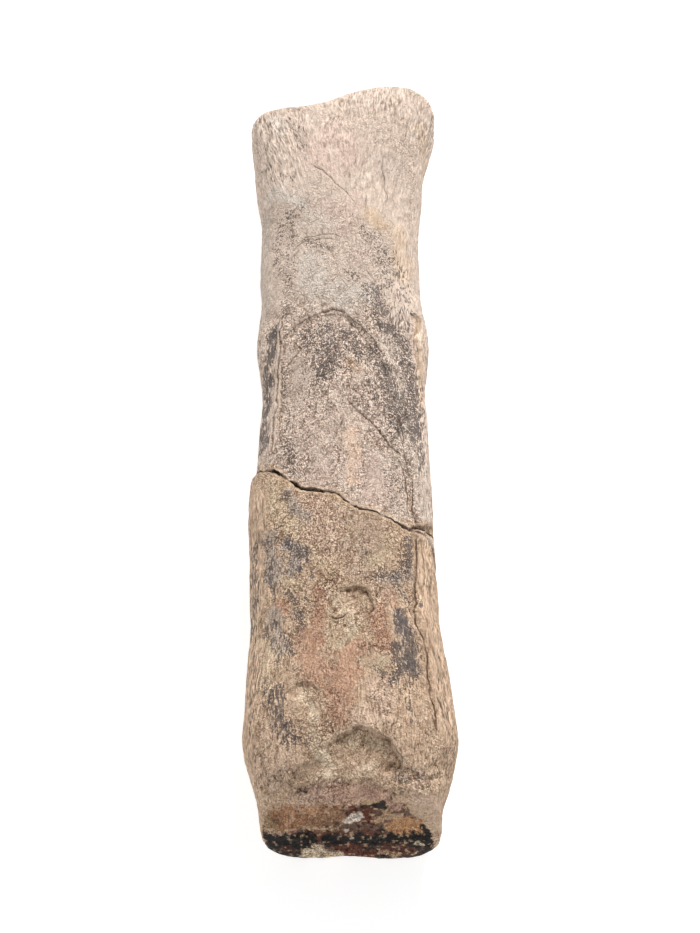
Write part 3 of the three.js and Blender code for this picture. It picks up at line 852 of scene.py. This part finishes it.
# %% Paint the pieces
FACE_FOOT = -100.9  # where along the bone the joint face has its foot, and its top leans back from there
FACE_LEAN = 6.4
FACE_HEIGHT = 32.6
FACE_SQUEEZE = 0.6  # strokes reach this many times as far across the face as up it


def paint_piece(points, normals, first_tint, washes):
    """The coat that both pieces have: a ground, strokes on the front, a pale lip, and the broken face in dark
    painted shade.
    """
    front = ramp(normals[:, 2], -0.3, 0.05)
    bare = ground(points, first_tint)
    paint = blend(bare, lay(bare, wander(points, (0.9, 3, 71)), washes, 1.7, 0.35), front)
    lip = 0.6 * bell(distance_to(unbent(points), BREAK) - 0.8, 0.5)
    paint = blend(paint, one_tint("ochre"), lip)
    # The broken faces are painted dark brown as shade in the narrow gap, and black where the gap opens into
    # holes.
    broken = blend(one_tint("broken"), one_tint("black"), ramp(gape(points), 0.12, 0.2))
    return blend(paint, broken, ramp(np.abs(normals[:, 1]), 0.6, 0.85) * broken_zone(points))


def paint_far_piece(piece):
    points, normals = read_both(piece)
    spongy = blend(one_tint("tan"), one_tint("face"), sponge(points))
    coat = paint_piece(points, normals, "sand", FAR_WASHES)
    save_paint(piece, blend(coat, spongy, 0.7 * end_face(points, normals)))
    save_mask(piece, "face", np.zeros(len(points)))


def joint_face(points, normals, across, up):
    """1 on the dark joint face, which ends at a rim and a little way behind its own surface."""
    below_rim = np.interp(across, *zip(*FACE_TOP), left=0, right=0) - up
    surface = FACE_FOOT + FACE_LEAN * np.clip(points[:, 2] / FACE_HEIGHT, 0, 1) ** 1.6
    behind = points[:, 1] - surface + 0.5 * noise(points, 1.3, 75)
    return ramp(below_rim, -0.5, 0.4) * (1 - ramp(behind, 0.6, 1.6)) * ramp(-normals[:, 1], -0.2, 0.2)


def paint_joint_piece(piece):
    points, normals = read_both(piece)
    nudged = wander(points[:, [0, 2, 1]], (0.9, (2.4, 4, 2.4), 73), (0.4, (0.8, 1.4, 0.8), 76))
    squeezed = [(t, [(x, FACE_SQUEEZE * z) for x, z in path], *rest) for t, path, *rest in FACE_WASHES]
    tone = lay(ground(points, "face"), nudged * (1, FACE_SQUEEZE, 1), squeezed, 1.3, 0.12)
    dark = 1 - ramp(tone.mean(axis=1), 80, 150)
    crumbs = 0.85 * ramp(noise(points, (0.62, 0.62, 1.1), 83), 0.42, 0.52)
    tone = blend(tone, one_tint("face tan"), crumbs)
    pits = 0.6 * ramp(noise(points, (0.7, 0.7, 1.2), 84), 0.38, 0.5)
    tone = blend(tone, 0 * tone, pits * (0.3 + 0.7 * dark))
    face = joint_face(points, normals, nudged[:, 0], nudged[:, 1])
    save_paint(piece, blend(paint_piece(points, normals, "tan", JOINT_WASHES), tone, face))
    save_mask(piece, "face", face)
    print("the joint face covers", round(100 * float(np.mean(face > 0.5)), 1), "% of the points")


paint_far_piece(far_piece)
paint_joint_piece(joint_piece)

# %% [markdown]
# ## Stains, cracks and hollows
#
# The dark mineral stain is not a tint but a crowd of tiny specks. Only its strength is laid down here, again
# in strokes, and the material makes the specks. The material also needs to know how far each point is from
# the nearest crack, how deep it lies among its neighbours, how fibrous and how crisp the surface is there,
# and the straightened coordinates in which the bone's fibres run along Y. All of it is saved on the mesh.

# %% Strokes of stain
FAR_STAIN = [
    ([(-4, 25), (-4.5, 19), (-5, 14)], 5.4, 0.92), ([(0, 25), (4, 19)], 3.6, 0.85),
    ([(-9, 26), (-8, 20)], 2.6, 0.8), ([(7, 20), (10, 14), (12.4, 7), (14, 0)], 4.4, 0.85),
    ([(13.9, 24), (15.8, 16), (16.7, 8), (17, -4)], 3.4, 0.9), ([(6, 10), (10, 4)], 3.8, 0.6),
    ([(7.1, 54.5), (9.6, 50), (11, 46.8), (9.6, 40)], 3.8, 0.62),
    ([(7, 37.7), (9, 31.9), (10.9, 26)], 3.6, 0.85), ([(2.5, 59.6), (4.2, 56.2), (7, 53.5)], 2, 0.55),
    ([(1, 42), (2.8, 40.5)], 1.8, 0.7), ([(12, 50), (12.6, 40)], 3.4, 0.6),
    ([(13, 46), (15, 36), (14.6, 28)], 3.4, 0.66),
    ([(-17.2, 29), (-18.2, 22), (-19, 13), (-19.4, 4), (-19.3, -4)], 1.9, 1),
    ([(-14, 62.6), (-13.2, 54), (-14, 46.5), (-14.6, 38), (-15, 31)], 2.1, 0.56),
    ([(-16.6, 61), (-17.2, 54), (-17.2, 46)], 1.6, 0.6),
    ([(-14.3, 92.5), (-12.4, 86), (-10.4, 81)], 2.4, 0.52),
    ([(-16.6, 75), (-14.2, 74.5), (-12.2, 72.4)], 1.6, 0.55),
    ([(-20.7, 83), (-19, 76.4), (-16.8, 72.8), (-13.5, 71.2)], 1.4, 0.5),
    ([(-10.6, 64.4), (-11.8, 62.2), (-14.4, 61.5)], 0.9, 0.7),
    ([(-10.2, 53.2), (-7.4, 51.4), (-4, 50.4)], 2, 0.62), ([(-10, 12), (-8.4, 7), (-10.6, 3)], 3, 0.4),
    ([(-14.2, 16), (-13.6, 6), (-13.8, -5)], 1.6, 0.62),
    ([(-13.4, -5), (-12.4, -10), (-12.6, -14)], 2.4, 0.75), ([(3.4, 4), (8, 1), (11, -4)], 3, 0.55),
    ([(12.1, -14), (12.8, -25)], 3.2, 0.5), ([(-2, -12), (4, -20)], 6, 0.28),
    ([(-22, 40), (-21.8, 10), (-21.6, -4)], 2.2, 0.5), ([(18.3, 10), (18.7, 2), (18.8, -12)], 1.8, 0.75),
    ([(-8, -2), (-2, 4)], 6, 0.32), ([(-22, 93), (-20, 80), (-18, 71)], 3, 0.4),
    ([(6, 90), (16, 88)], 6, 0.2), ([(4, 70), (6, 60)], 7, 0.2), ([(-8, 56), (0, 46)], 7, 0.16),
]
JOINT_STAIN = [
    ([(14.7, -32.6), (15, -36), (13.8, -39)], 1.9, 1),
    ([(14.1, -41.3), (12.4, -43), (9.3, -43.4)], 2.2, 0.85), ([(13, -46), (14.6, -49)], 1.9, 0.7),
    ([(12.6, -53), (14, -57), (15.4, -62), (15, -67.5)], 2.6, 1), ([(10.1, -49.5), (11.7, -53)], 1.6, 0.6),
    ([(-13.2, -33.6), (-11.2, -36.4), (-9, -37.6)], 2, 0.9), ([(-8.1, -42.6), (-7.2, -44)], 1, 0.9),
    ([(-17.6, -31), (-16.9, -42), (-16.3, -48)], 1.9, 0.8),
    ([(-15.3, -30), (-14.9, -38), (-15, -45)], 1.5, 0.6),
    ([(-13.2, -46.9), (-11.7, -49.6), (-10.4, -52.8), (-9.3, -56)], 1.3, 0.85),
    ([(-8.8, -46), (-9, -50)], 1.2, 0.6), ([(-10.7, -55), (-9.7, -60), (-9, -63)], 1.4, 0.55),
    ([(-16.3, -54.7), (-16.1, -59), (-14.8, -64.3)], 1.9, 0.75), ([(-13, -58.5), (-11.8, -63)], 2, 0.8),
    ([(-20.9, -31), (-20.8, -45), (-20.3, -57)], 1.7, 0.82),
    ([(11.5, -62.3), (13.7, -67), (11, -70)], 2.6, 0.85), ([(8.1, -67.9), (10.6, -69.4)], 1.6, 0.7),
    ([(13.6, -71), (15.1, -79)], 2.6, 0.6), ([(-12.3, -62), (-11, -68)], 2.4, 0.5),
    ([(-15, -73), (-13.1, -79.5), (-11.5, -84.4)], 3, 0.85), ([(-18, -70), (-16.5, -77)], 2.2, 0.7),
    ([(-9.6, -80.6), (-8.5, -86)], 1.8, 0.6), ([(3.5, -62), (3, -66)], 1.4, 0.4),
    ([(-4.3, -46), (-4, -49)], 1, 0.5), ([(4.6, -36), (4.9, -42)], 3.4, 0.45),
    ([(-19.5, -60), (-20.6, -80)], 1.8, 0.5), ([(21.5, -62), (22.8, -78)], 1.8, 0.35),
    ([(19.6, -78), (21, -88)], 2.6, 0.35), ([(-17.5, -84), (-16, -92)], 2.6, 0.35),
    ([(16.8, -47.4), (17.5, -49)], 0.9, 0.8), ([(0, -30), (-4, -34)], 6, 0.3),
    ([(2, -68), (-3, -80)], 6, 0.28), ([(8, -74), (10, -82)], 4, 0.45),
    ([(11.6, -91.3), (14, -92), (18, -91)], 1.2, 0.7), ([(-7, -56), (-4, -62)], 3.4, 0.35),
]
ROUND_STAINS = [([(-10.2, -41.1), (-10.1, -41.6)], 0.75, 1.9), ([(-8.3, -39.1), (-8.2, -39.6)], 0.6, 1.8)]
FAR_CALM = [
    ([(-12, 17), (-10, 12)], 2.2, 0.7), ([(1.4, -5), (2.8, -12), (1.6, -18)], 2.4, 0.6),
    ([(6, -14), (9, -20)], 4, 0.5), ([(-4, 28.4), (2, 27)], 1.2, 0.6), ([(-3, 0), (-6, -12)], 3, 0.5),
    ([(-14, 22), (-13, 18)], 1.6, 0.5),
]
JOINT_CALM = [
    ([(-1, -50), (2, -54), (2, -58)], 2.8, 0.3), ([(-12, -75), (-8, -78)], 3.4, 0.5),
    ([(5.4, -65.9), (8.4, -66)], 2, 0.6), ([(0, -64), (-2, -78)], 4, 0.35), ([(-10, -89), (8, -90)], 4, 0.4),
    ([(9, -36), (6, -41)], 2, 0.4),
]
print(len(FAR_STAIN), "and", len(JOINT_STAIN), "strokes of stain")


# %% Save what the materials need
def hollowness(piece, rounds):
    """How far each point lies below (above 0) or above (below 0) the mean of those round it, in mm."""
    points = read_points(piece)
    edges = np.empty(len(piece.data.edges) * 2, np.int64)
    piece.data.edges.foreach_get("vertices", edges)
    first, second = edges.reshape(-1, 2).T
    count = np.bincount(first, minlength=len(points)) + np.bincount(second, minlength=len(points))
    mean = points.copy()
    for _ in range(rounds):
        total = np.zeros_like(mean)
        for axis in range(3):
            total[:, axis] += np.bincount(first, mean[second, axis], len(points))
            total[:, axis] += np.bincount(second, mean[first, axis], len(points))
        mean = total / count[:, None]
    return np.sum((mean - points) * read_normals(piece), axis=1)


def save_lines(piece, marks, nudges, points, front):
    """The distance to the nearest line, with a sign for the side, and how dark that line is there.

    The sign lets the value pass through 0 between two points of the mesh, so that a line stays thin and
    unbroken."""
    bent = wander(points, *nudges)
    nearest = np.maximum(distance_to(unbent(points), BREAK) - gape(points) + 0.04, 0)
    sided = nearest.copy()
    strength = 1.3 * (1 - ramp(nearest, 0.5, 0.9))
    for path, darkness in [(path, darkness) for path, _, _, darkness in marks if darkness]:
        near, side, from_end = measured(bent, path)
        closer = near < nearest
        nearest = np.where(closer, near, nearest)
        sided = np.where(closer, near * side, sided)
        strength = np.where(closer, darkness * (1 - ramp(near, 0.4, 0.8)) * ramp(from_end, 0, 1), strength)
    faint = 0.8 + 0.4 * noise(points, 1.8, 77)
    save_mask(piece, "line_near", np.clip(sided, -1, 1))
    save_mask(piece, "line_dark", strength * np.clip(faint, 0.3, 1) * front)


def crispness(points, flank, calm):
    """How strong the finest texture is: weak towards the worn far end, and in calm patches."""
    lower = 1 - ramp(points[:, 1], 24, 42)
    patchy = 0.85 + 0.45 * noise(points, (4, 6, 4), 79)
    streaked = 0.35 * ramp(points[:, 1], 72, 92)
    smooth_face = 0.4 * ramp(points[:, 2], 13, 17) * (1 - ramp(points[:, 1], -97, -94))
    strong = np.clip((0.3 + 0.65 * lower + 0.2 * flank + streaked) * patchy, 0, 1)
    return strong * (1 - painted(points, calm)) * (1 - smooth_face)


def save_masks(piece, marks, nudges, stain, dots, fibrous, calm, straighten):
    points, normals = read_both(piece)
    front = ramp(normals[:, 2], -0.25, 0.1)
    flank = flank_of(normals)
    save_lines(piece, marks, nudges, points, front)
    # How deep each point lies among its neighbours: the material paints shade in hollows and a highlight on
    # crests from it.
    save_mask(piece, "hollow", hollowness(piece, 6))
    brushed = wander(points, (0.9, 3, 72))
    on_back = 0.75 * ramp(noise(points, (8, 15, 8), 78), 0.1, 0.7)
    on_back *= 1 - ramp(np.abs(normals[:, 1]), 0.4, 0.7)
    stained = np.maximum(painted(brushed, stain), painted(points, dots))
    save_mask(piece, "stain", stained * front + on_back * (1 - front))
    save_mask(piece, "fibrous", np.maximum(painted(points, fibrous), 0.7 * flank))
    save_mask(piece, "crisp", crispness(points, flank, calm))
    grain = piece.data.attributes.new("grain", "FLOAT_VECTOR", "POINT")
    grain.data.foreach_set("vector", (straighten(points) * MM).astype(np.float32).ravel())


far_strokes = (FAR_STAIN, [], FAR_FIBROUS, FAR_CALM)
save_masks(far_piece, FAR_MARKS, FAR_NUDGES, *far_strokes, along_far_grain)
joint_strokes = (JOINT_STAIN, ROUND_STAINS, JOINT_FIBROUS, JOINT_CALM)
save_masks(joint_piece, JOINT_MARKS, JOINT_NUDGES, *joint_strokes, along_joint_grain)
print("attributes:", [a.name for a in joint_piece.data.attributes if a.domain == "POINT"])

# %% [markdown]
# ## Shader maths as plain expressions
#
# A material is a graph of nodes, but it reads best as arithmetic. The class below wraps one socket, so that
# `1 - mask` or `stain * 0.5 + speck` adds the Math nodes by itself. Any other node comes from its one method,
# `node`, which takes the node's type, its settings and the values or links of its sockets.


# %% A socket that can be calculated with
class Socket:
    def __init__(self, tree, output):
        self.tree = tree
        self.output = output

    def node(self, kind, settings=None, sockets=None, output=0):
        new = self.tree.nodes.new(kind)
        for name, value in (settings or {}).items():
            setattr(new, name, value)
        for name, value in (sockets or {}).items():
            if isinstance(value, Socket):
                self.tree.links.new(value.output, new.inputs[name])
            else:
                new.inputs[name].default_value = value
        return Socket(self.tree, new.outputs[output])

    def math(self, operation, first, second=0.0):
        return self.node("ShaderNodeMath", {"operation": operation}, {0: first, 1: second})

    def __add__(self, other):
        return self.math("ADD", self, other)

    def __sub__(self, other):
        return self.math("SUBTRACT", self, other)

    def __rsub__(self, other):
        return self.math("SUBTRACT", other, self)

    def __mul__(self, other):
        return self.math("MULTIPLY", self, other)

    def __abs__(self):
        return self.math("ABSOLUTE", self)

    __radd__ = __add__
    __rmul__ = __mul__


print("a Socket adds, subtracts, multiplies and takes absolute values")


# %% The few nodes that every finish uses
MIX = "MIX"  # how a tone goes over another: as a share of it, or multiplied with it
TIMES = "MULTIPLY"


def tint(red, green, blue):
    return (*[float(v) for v in linear((red, green, blue))], 1.0)


def soft_step(value, start, end):
    sockets = {"Value": value, "From Min": start, "From Max": end, "To Min": 0.0, "To Max": 1.0}
    return value.node("ShaderNodeMapRange", {"interpolation_type": "SMOOTHSTEP"}, sockets)


def mixed(share, first, second, way=MIX):
    settings = {"data_type": "RGBA", "blend_type": way, "clamp_factor": True}
    return share.node("ShaderNodeMix", settings, {0: share, 6: first, 7: second}, output=2)


def mask(start, name, output=2):
    """A value that is saved on the mesh. Output 0 reads a colour, output 1 a vector and output 2 a number."""
    return start.node("ShaderNodeAttribute", {"attribute_name": name}, output=output)


def stretched(place, across, along, up):
    """Coordinates counted in lumps of the given size in millimetres."""
    scale = (1 / (across * MM), 1 / (along * MM), 1 / (up * MM))
    return place.node("ShaderNodeVectorMath", {"operation": "MULTIPLY"}, {0: place, 1: scale})


def cloud(place, detail=2.0, roughness=0.5, distortion=0.0):
    sockets = {"Scale": 1.0, "Detail": detail, "Roughness": roughness, "Distortion": distortion}
    return place.node("ShaderNodeTexNoise", None, {"Vector": place, **sockets})


def new_finish(name):
    material = bpy.data.materials.new(name)
    material.use_nodes = True
    tree = material.node_tree
    tree.nodes.clear()
    output = tree.nodes.new("ShaderNodeOutputMaterial")
    shader = tree.nodes.new("ShaderNodeBsdfPrincipled")
    tree.links.new(shader.outputs[0], output.inputs[0])
    start = Socket(tree, tree.nodes.new("ShaderNodeTexCoord").outputs["Object"])
    return material, shader, start


print("pale bone in linear values:", [round(v, 2) for v in tint(208, 188, 168)])

# %% [markdown]
# ## The finish of weathered bone
#
# Up close the colour is never flat. Over the coat of paint lie fibres, which streak it lengthwise where the
# bone is fibrous, and small flakes elsewhere, with crisp edges. Both are painted with a highlight on top and
# with shade in the gaps.
# The mineral stain sits in specks of about half a millimetre that crowd together where the stain is strong,
# which is why it is made by comparing fine noise with the mask, and not by mixing a dark colour over an area.
# The same noises drive the bump, so that a dark speck is a small pit and a streak is a small furrow.


# %% Fibres, flakes and specks
def spread(value, amount):
    """Noise stays near a half, so it is spread about a half to use the whole range."""
    return (value - 0.5) * amount + 0.5


def fibre_height(start, fibrous):
    grain = mask(start, "grain", output=1)
    short = cloud(stretched(grain, 0.6, 3.0, 0.6), 2.0, 0.55, 0.2)
    long = cloud(stretched(grain, 1.0, 6, 1.0), 2.0, 0.55, 0.2)
    return spread(short * 0.65 + long * 0.35, 2.6), fibrous * 0.85 + 0.15


def flake_cells(start, size):
    """Flakes are the cells of a pattern bent by noise. First: how far each place is from the border of its
    flake, counted in flakes. Second: a value that is the same all over one flake."""
    place = stretched(start, size, 1.25 * size, 1.6 * size)
    bend = place.node("ShaderNodeTexNoise", None, {"Vector": place, "Scale": 1.7, "Detail": 2.0}, output=1)
    added = {0: bend, 1: (1.2, 1.2, 1.2), 2: place}
    bent = place.node("ShaderNodeVectorMath", {"operation": "MULTIPLY_ADD"}, added)
    sockets = {"Vector": bent, "Scale": 1.0}
    inward = place.node("ShaderNodeTexVoronoi", {"feature": "DISTANCE_TO_EDGE"}, sockets)
    cell = place.node("ShaderNodeTexVoronoi", None, sockets, output=1)
    return inward, cell.node("ShaderNodeSeparateColor", None, {0: cell})


def flake_height(start, quiet):
    """Little terraces at two sizes, and the crisp edges of the flakes, with a painted highlight on top and
    painted shade at the foot.
    """
    large = cloud(stretched(start, 2.2, 2.8, 3.4), 3.0, 0.6, 0.5)
    inward, _ = flake_cells(start, 1.0)
    terraces = soft_step(large, 0.47, 0.52) * 0.5 + soft_step(inward, 0.02, 0.14) * 0.5
    shown = soft_step(cloud(stretched(start, 1.9, 2.3, 3.0), 2.0), 0.4, 0.56)
    highlit_tops = peak(large, 0.55, 0.03) + peak(inward, 0.17, 0.1) * shown
    shaded_feet = peak(large, 0.48, 0.03) + soft_step(inward, 0.12, 0.02) * shown
    return terraces * quiet, highlit_tops * quiet, shaded_feet * quiet


def plates(start, quiet):
    """Flakes of about three millimetres, some of which stand out: their tone, where they show, their rim,
    painted pale as a highlight, and their dark outline, painted shade in the crack round them."""
    inward, tone = flake_cells(start, 2.7)
    shown = soft_step(cloud(stretched(start, 5, 6, 5), 2.0), 0.42, 0.58) * quiet
    return spread(tone, 1.0), shown, peak(inward, 0.15, 0.07) * shown, soft_step(inward, 0.1, 0.03) * shown


def peak(value, middle, width):
    """1 where a value passes its middle, and 0 beyond the width: on noise, a thin wandering line."""
    return 1 - soft_step(abs(value - middle), width * 0.3, width)


def finest(start, fibrous):
    """The finest texture, under half a millimetre across: crinkles, drawn out into threads where fibrous."""
    grain = mask(start, "grain", output=1)
    grit = cloud(stretched(start, 0.34, 0.42, 0.55), 1.0, 0.5, 0.6)
    threads = cloud(stretched(grain, 0.34, 2.0, 0.55), 1.5, 0.5, 0.3)
    return spread(grit + (threads - grit) * fibrous, 3.6)


def specks(start, fine, fibrous, stain):
    """Dark specks in the hollows of the fine texture. They crowd together where the stain is strong."""
    grain = mask(start, "grain", output=1)
    round_ones = cloud(stretched(start, 0.7, 0.9, 1.1), 2.5, 0.65, 1.0)
    long_ones = cloud(stretched(grain, 0.5, 1.4, 0.8), 2.5, 0.65, 0.8)
    middle = spread(round_ones + (long_ones - round_ones) * fibrous, 2.4)
    blots = cloud(stretched(start, 1.8, 2.4, 1.8), 2.5, 0.6, 0.4)
    reach = stain * 0.68 + (blots - 0.5) * 0.5 * soft_step(stain, 0.0, 0.5)
    return soft_step(reach - (fine * 0.36 + middle * 0.64), -0.07, 0.07), middle, blots


def set_height(shader, height):
    sockets = {"Strength": 1.0, "Distance": MM, "Height": height}
    bump = height.node("ShaderNodeBump", None, sockets)
    height.tree.links.new(bump.output, shader.inputs["Normal"])


# %% One recipe for both pieces
BRIGHTER = 1.36
FINE_DARK = (0.5, 0.475, 0.455, 1.0)
FINE_LIGHT = (1.5, 1.5, 1.49, 1.0)
CRACK_TINT = (80, 60, 43)


def bone_finish(name, pale, gap, light_stain, deep_stain):
    """Weathered bone over the painted coat. The joint face has no fibres, and its crests keep its own colour.

    Gap is the tone of the painted shade that darkens low places, and pale is the tone of the painted
    highlight on what stands out. Each layer is its share, its tone and how it goes over the layers below."""
    material, shader, start = new_finish(name)
    paint = mask(start, "paint", output=0)
    masks = [mask(start, saved) for saved in ("stain", "crisp", "face", "hollow", "line_dark")]
    stain, crisp, face, hollow, line_dark = masks
    fibrous = mask(start, "fibrous") * (1 - face)
    line = (1 - soft_step(abs(mask(start, "line_near")), 0.06, 0.25)) * line_dark
    bright = paint.node("ShaderNodeVectorMath", {"operation": "MULTIPLY"}, {0: paint, 1: (BRIGHTER,) * 3})
    # The pale tone of random patches, and of the painted highlights on fibres, flake rims, crests and ridges.
    pale_and_highlight_tone = mixed(0.4 + face * 0.55, pale, bright)
    patches = spread(cloud(stretched(start, 3.4, 5, 3.4), 3.0, 0.6, 0.3), 2.0)
    fibres, fibre_share = fibre_height(start, fibrous)
    flakes, highlit_tops, shaded_feet = flake_height(start, 1 - fibrous * 0.8)
    flake_tone, shown, highlit_rims, outlines = plates(start, 1 - fibrous * 0.7)
    crinkled = crisp * (0.55 + stain * 0.45)
    crackle = peak(cloud(stretched(start, 2.6, 3.4, 2.6), 2.0, 0.6, 0.8), 0.5, 0.025) * (1 - fibrous)
    fine = finest(start, fibrous)
    dark, middle, blots = specks(start, fine, fibrous, stain)
    stain_tone = mixed(soft_step(blots + stain * 0.3, 0.68, 0.9), light_stain, deep_stain)
    flecks = soft_step(middle, 0.7, 0.95) * soft_step(stain, 0.1, 0.6)
    flecks = flecks + soft_step(fine, 0.8, 1.0) * (stain + face) * 0.5
    layers = [
        (patches * (1 - face) * 0.25, pale_and_highlight_tone, MIX),
        (soft_step(patches, 0.4, 0.0) * 0.25, gap, TIMES),
        # Fibres: a painted highlight where they stand up and painted shade in the splits between them.
        (soft_step(fibres, 0.55, 0.9) * fibre_share * 0.75, pale_and_highlight_tone, MIX),
        (soft_step(fibres, 0.36, 0.1) * fibre_share * 0.6, gap, TIMES),
        # Painted shade on the low terraces of the small flakes.
        (soft_step(flakes, 0.1, 0.0) * 0.2, gap, TIMES),
        (soft_step(flake_tone, 0.45, 0.0) * shown * crisp * 0.2, gap, TIMES),
        (soft_step(flake_tone, 0.55, 1.0) * shown * crisp * 0.4, pale_and_highlight_tone, MIX),
        # Flakes that stand out: a dark outline, which is painted shade in the crack round each, and a rim
        # painted pale as a highlight.
        (outlines * crisp * 0.85, gap, TIMES),
        (highlit_rims * crisp * 0.6, pale_and_highlight_tone, MIX),
        # The edges of the small flakes: painted shade at the foot and a painted highlight on top.
        (shaded_feet * crinkled, gap, TIMES),
        (highlit_tops * crinkled * 0.75, pale_and_highlight_tone, MIX),
        (crackle * 0.45, gap, TIMES),
        (soft_step(fine, 0.5, 0.0) * crisp, FINE_DARK, TIMES),
        (soft_step(fine, 0.5, 1.0) * crisp, FINE_LIGHT, TIMES),
        (dark * 0.82, stain_tone, MIX),
        # Pale flecks: painted highlights on the crests of the finer textures, in the stain and on the joint
        # face.
        (flecks * 0.6, pale_and_highlight_tone, MIX),
        # Painted shade in the hollows and a painted highlight on the crests.
        (soft_step(hollow, 0.03, 0.24) * 0.7, gap, TIMES),
        (soft_step(hollow, -0.02, -0.16) * 0.45, pale_and_highlight_tone, MIX),
        # Pale lines are painted highlights along ridges. Dark lines are cracks and the break, and painted
        # shade along steps where nothing is cut.
        (line * -0.9, pale_and_highlight_tone, MIX),
        (line * 0.9, tint(*CRACK_TINT), MIX),
    ]
    colour = paint
    for share, tone, way in layers:
        colour = mixed(share, colour, tone, way)
    roughness = 0.74 + fine * 0.14 - face * 0.1
    start.tree.links.new(colour.output, shader.inputs["Base Color"])
    start.tree.links.new(roughness.output, shader.inputs["Roughness"])
    shader.inputs["Specular IOR Level"].default_value = 0.15
    height = fibres * fibre_share * 0.4 + flakes * 0.2 + fine * (0.06 + crisp * 0.1) - outlines * crisp * 0.1
    set_height(shader, height - dark * 0.05 - line * 0.3 - crackle * 0.1)
    return material


# Each finish takes four tones: the painted highlight, the painted shade, and the light and the deep stain.
pale_tones = ((243, 220, 205), (170, 154, 142), (108, 97, 90), (78, 72, 72))
brown_tones = ((230, 205, 182), (168, 147, 132), (104, 92, 86), (68, 64, 68))
pale_bone = bone_finish("weathered bone, pale", *[tint(*tone) for tone in pale_tones])
brown_bone = bone_finish("weathered bone, brown", *[tint(*tone) for tone in brown_tones])
far_piece.data.materials.append(pale_bone)
joint_piece.data.materials.append(brown_bone)
for finish in (pale_bone, brown_bone):
    print(finish.name, "has", len(finish.node_tree.nodes), "nodes")

# %% [markdown]
# ## Putting the pieces in place
#
# The carved pieces take the place of the plain solids, which are hidden.

# %% Stand in for the solids
PLACES = [(far_piece, "far_end_piece", "far_bone"), (joint_piece, "joint_end_piece", "joint_bone")]
for piece, node, slot in PLACES:
    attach(piece, "root")
    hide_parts(node)
    low = read_points(piece).min(axis=0)
    print(piece.name, "lowest point at", round(float(low[2]), 3), "mm")

# %% [markdown]
# ## Table, light and camera
#
# The bone lies on a plain white surface in even, soft light that comes mostly from beyond its far end, so the
# ledges that step down towards the joint end are in shade. The table glows a little, so that it stays white
# under the bone. The camera looks down at a slant from the joint end, far enough away that the bone hardly
# tapers.


# %% A plain white table
HALF_TABLE = 4.0  # metres
TABLE_GREY = (0.5, 0.5, 0.5, 1.0)
WHITE = (1.0, 1.0, 1.0, 1.0)
TABLE_GLOW = 0.73


def plain_table():
    mesh = bpy.data.meshes.new("table")
    sheet = bmesh.new()
    bmesh.ops.create_grid(sheet, x_segments=1, y_segments=1, size=HALF_TABLE)
    sheet.to_mesh(mesh)
    sheet.free()
    table = bpy.data.objects.new("table", mesh)
    bpy.context.scene.collection.objects.link(table)
    material, shader, _ = new_finish("white table")
    shader.inputs["Base Color"].default_value = TABLE_GREY
    shader.inputs["Roughness"].default_value = 0.9
    shader.inputs["Specular IOR Level"].default_value = 0.0
    shader.inputs["Emission Color"].default_value = WHITE
    shader.inputs["Emission Strength"].default_value = TABLE_GLOW
    mesh.materials.append(material)
    return table


table = plain_table()
print("the table is", table.dimensions.x, "m wide")


# %% Soft light
SKY_STRENGTH = 0.5


def area_light(name, place, size, watts):
    """A square lamp at a place in metres that faces the middle of the bone."""
    light = bpy.data.lights.new(name, "AREA")
    light.shape = "SQUARE"
    light.size = size
    light.energy = watts
    lamp = bpy.data.objects.new(name, light)
    lamp.location = place
    lamp.rotation_euler = (-Vector(place)).to_track_quat("-Z", "Y").to_euler()
    bpy.context.scene.collection.objects.link(lamp)
    return lamp


area_light("key light", (0.25, 0.95, 0.8), 0.35, 17.0)
area_light("fill light", (-0.5, -0.4, 1.1), 1.2, 2.2)
world = bpy.data.worlds.new("studio")
world.use_nodes = True
sky = world.node_tree.nodes["Background"]
sky.inputs["Color"].default_value = WHITE
sky.inputs["Strength"].default_value = SKY_STRENGTH
bpy.context.scene.world = world
bpy.context.scene.view_settings.view_transform = "Standard"
print("two lamps and a white sky")

# %% The camera
AIM = np.array([1.12, -8.3, 15.0])
DISTANCE = 480.0
TILT = math.radians(30)  # from looking straight down
PHOTO_HEIGHT = 933
FOCAL_PIXELS = 1964.0  # how far the lens would be from a picture of that height, in pixels

camera_data = bpy.data.cameras.new("camera")
camera_data.sensor_width = 36.0
camera_data.lens = FOCAL_PIXELS / PHOTO_HEIGHT * camera_data.sensor_width
camera_data.clip_start = 0.01
camera = bpy.data.objects.new("camera", camera_data)
camera.location = (AIM + DISTANCE * np.array([0.0, -math.sin(TILT), math.cos(TILT)])) * MM
camera.rotation_euler = (TILT, 0.0, 0.0)
bpy.context.scene.collection.objects.link(camera)
bpy.context.scene.camera = camera
print("lens", round(camera_data.lens, 1), "mm at", DISTANCE, "mm")
